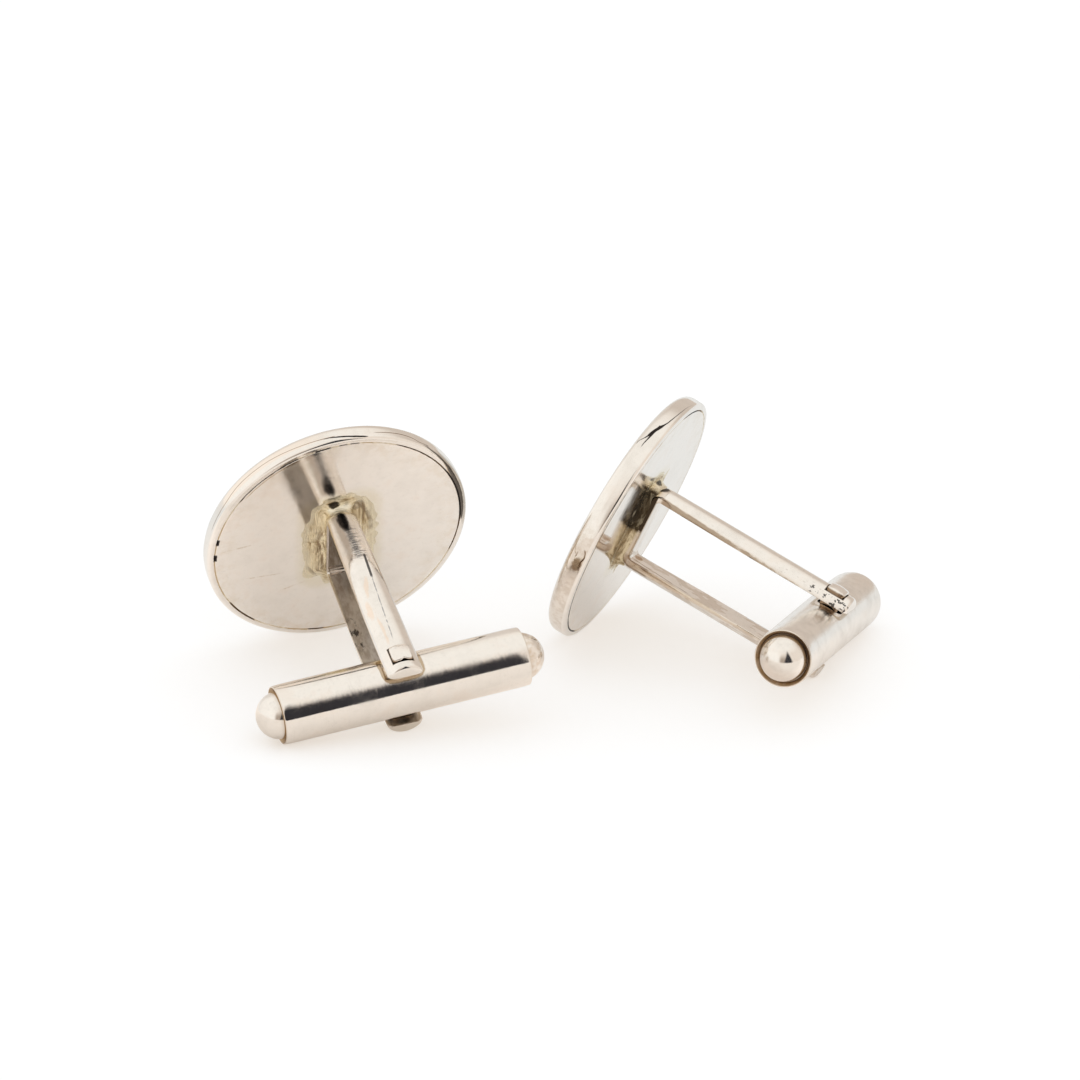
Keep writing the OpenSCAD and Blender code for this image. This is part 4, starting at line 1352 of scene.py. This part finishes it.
plugLook = {
    "steps": 160, "ballSteps": 60, "stepLength": 0.3,
    "stem": 1.6, "ball": 1.68, "play": 0.01, "topRound": 0.01, "stemRound": 0.05,
    "grain": (3.0, 3.0, 3.0), "seed": {"lefta": 10, "leftb": 11, "righta": 12, "rightb": 13},
    "dullness": 0.5, "farDullness": 0.75, "moreRough": 0.06, "ragged": (2.0, 3.0), "rootStray": 0.1,
    "neck": (0.55, 0.15), "root": (0.10, 0.02), "farFrom": (0.35, 0.7),
    # painted shade: the right link's balls are darker towards -Y, the side that mirrors the floor
    "underStray": 0.8, "under": (0.2, -0.9),
    "stains": {
        "neck": (0.5, (0.52, 0.42, 0.32)), "root": (0.95, (0.12, 0.075, 0.045)),
        "far": (0.6, (0.70, 0.56, 0.42)), "under": (0.5, (0.60, 0.51, 0.43)),
    },
}


# An end plug: ball and stem in one section turned round X
def makePlug(side, bar, sizes, look, end):
    ball, stemR = look["ball"], sizes["boreR"] - look["play"]
    centre = sizes["ballTip"] - ball
    stemTop = sizes["tubeL"] / 2 - tubeLook["recess"]
    polar = np.linspace(0, math.acos((stemTop - centre) / ball), look["ballSteps"])
    ballLine = np.stack([ball * np.sin(polar), centre + ball * np.cos(polar)], axis=-1)
    stemLine = easedLine([
        (ballLine[-1, 0], ballLine[-1, 1], 0), (stemR, stemTop, look["topRound"]),
        (stemR, stemTop - look["stem"], look["stemRound"]), (0, stemTop - look["stem"], 0),
    ], look["stepLength"])
    grid = turnedAlongX(np.concatenate([ballLine[:-1], stemLine]), look["steps"])
    if end == "a":
        grid = grid * (-1, 1, 1)
    piece = makePiece(side + "BallPlug" + end.upper(), bar, [grid])
    dress(piece, side + "_end_plug_" + end, plugFinish(side, bar, stemTop, look, end))


# Each ball is brown where it meets the recess; the left link's far one is dull, and the right link's
# are darker towards -Y, the side that mirrors the floor, in painted shade
def plugFinish(side, bar, stemTop, look, end):
    material, sheet = newMaterial(side + "BallSilver" + end.upper())
    point = sheet.point(bar)
    x, y, _ = sheet.axes(point)
    far = side == "left" and end == "b"
    colour, rough, height = wornSilver(
        sheet, point, silverLook, look["grain"], look["seed"][side + end],
        look["farDullness"] if far else look["dullness"],
    )
    out = abs(x) - stemTop
    ragged = sheet.noise(point, *look["ragged"])
    root = (out + ragged.stray(look["rootStray"])).step(*look["root"])
    masks = {"neck": out.step(*look["neck"]), "root": root}
    if far:
        masks["far"] = ragged.step(*look["farFrom"])
    if side == "right":
        # painted shade towards -Y, the side that mirrors the floor
        masks["under"] = (y + ragged.stray(look["underStray"])).step(*look["under"])
    colour = stained(sheet, colour, tinted(masks, look["stains"]))
    metal(sheet, colour, rough + look["moreRough"], height)
    return material


springLook = {
    "grain": ((0.6, 8.0, 8.0), (1.0, 3.0)), "grainFrom": (0.4, 0.7), "grainHeight": 0.004, "roughness": 0.3,
    "dark": (0.36, 0.37, 0.39), "light": (0.55, 0.56, 0.58),
}


# The leaf spring keeps its CAD mesh and gets a rolled steel
def springFinish(side, bar, look):
    material, sheet = newMaterial(side + "SpringSteel")
    grain = sheet.grain(sheet.point(bar), *look["grain"])
    colour = sheet.blend(grain.step(*look["grainFrom"]), look["dark"], look["light"])
    metal(sheet, colour, look["roughness"], grain * look["grainHeight"])
    nodes[side + "_leaf_spring"].material_slots[0].material = material


# What the CAD nodes don't give by their reach, in millimetres
fits = {
    "bendR": 0.3, "rootW": 2.05, "nearPin": 2.0, "holePlay": 0.08, "drillPlay": 0.04, "borePlay": 0.01,
}


# Sizes of a link, in millimetres, read from its CAD nodes
def readSizes(side, link, bar):
    shell, plate, fork = (link.read(side + n) for n in ("_front_shell", "_back_plate", "_fork"))
    solder, pin = link.read(side + "_rim_solder"), link.read(side + "_pivot_pin")
    tube, plug = bar.read(side + "_swivel_tube"), bar.read(side + "_end_plug_b")
    pinH = (bar.origin - link.origin) @ link.turn[:, 2] * perMetre
    legOut, endW = fork[:, 1].max(), 2 * fork[:, 0].max()
    inner = fork[(fork[:, 2] > pinH - fits["nearPin"]) & (fork[:, 1] > 0)][:, 1].min()
    legT = legOut - inner
    flat, corner = 2 * pin[:, 0].max(), np.hypot(pin[:, 0], pin[:, 2] - pinH).max()
    wornFlat, wornCorner = flat * pinLook["share"], corner * pinLook["share"]
    return {
        "faceR": shell[:, 0].max(), "headT": -shell[:, 2].min(), "plateR": plate[:, 0].max(),
        "plateT": -plate[:, 2].min(), "seatR": solder[:, 0].max(), "pinH": pinH, "wideZ": pinH - flat,
        "forkGap": 2 * inner, "legT": legT, "legOut": legOut, "legEndZ": fork[:, 2].max(),
        "bendR": fits["bendR"], "rootW": fits["rootW"], "endW": endW,
        "crownR": ((endW / 2) ** 2 + legT ** 2) / (2 * legT), "pinOut": pin[:, 1].max(),
        "pinFlat": wornFlat, "pinCornerR": wornCorner,
        "holeW": wornFlat + fits["holePlay"], "crossR": wornCorner + fits["drillPlay"],
        "tubeL": 2 * tube[:, 0].max(), "tubeR": np.hypot(tube[:, 1], tube[:, 2]).max(),
        "boreR": np.hypot(plug[:, 1], plug[:, 2]).max() + fits["borePlay"], "ballTip": plug[:, 0].max(),
    }


for side in ("left", "right"):
    link = linkPlace(side)
    bar = barPlace(side, link)
    sizes = readSizes(side, link, bar)
    print(side, {name: round(float(size), 3) for name, size in sizes.items()})
    makeShell(side, link, sizes, shellLook)
    makePlate(side, link, sizes, plateLook)
    makeRimSolder(side, link, sizes, rimLook)
    makeFork(side, link, sizes, forkLook)
    makeForkSolder(side, link, sizes, solderLook)
    makePin(side, link, sizes, pinLook)
    makeTube(side, bar, sizes, tubeLook)
    for end in "ab":
        makePlug(side, bar, sizes, plugLook, end)
    springFinish(side, bar, springLook)
    print(side, "link made")
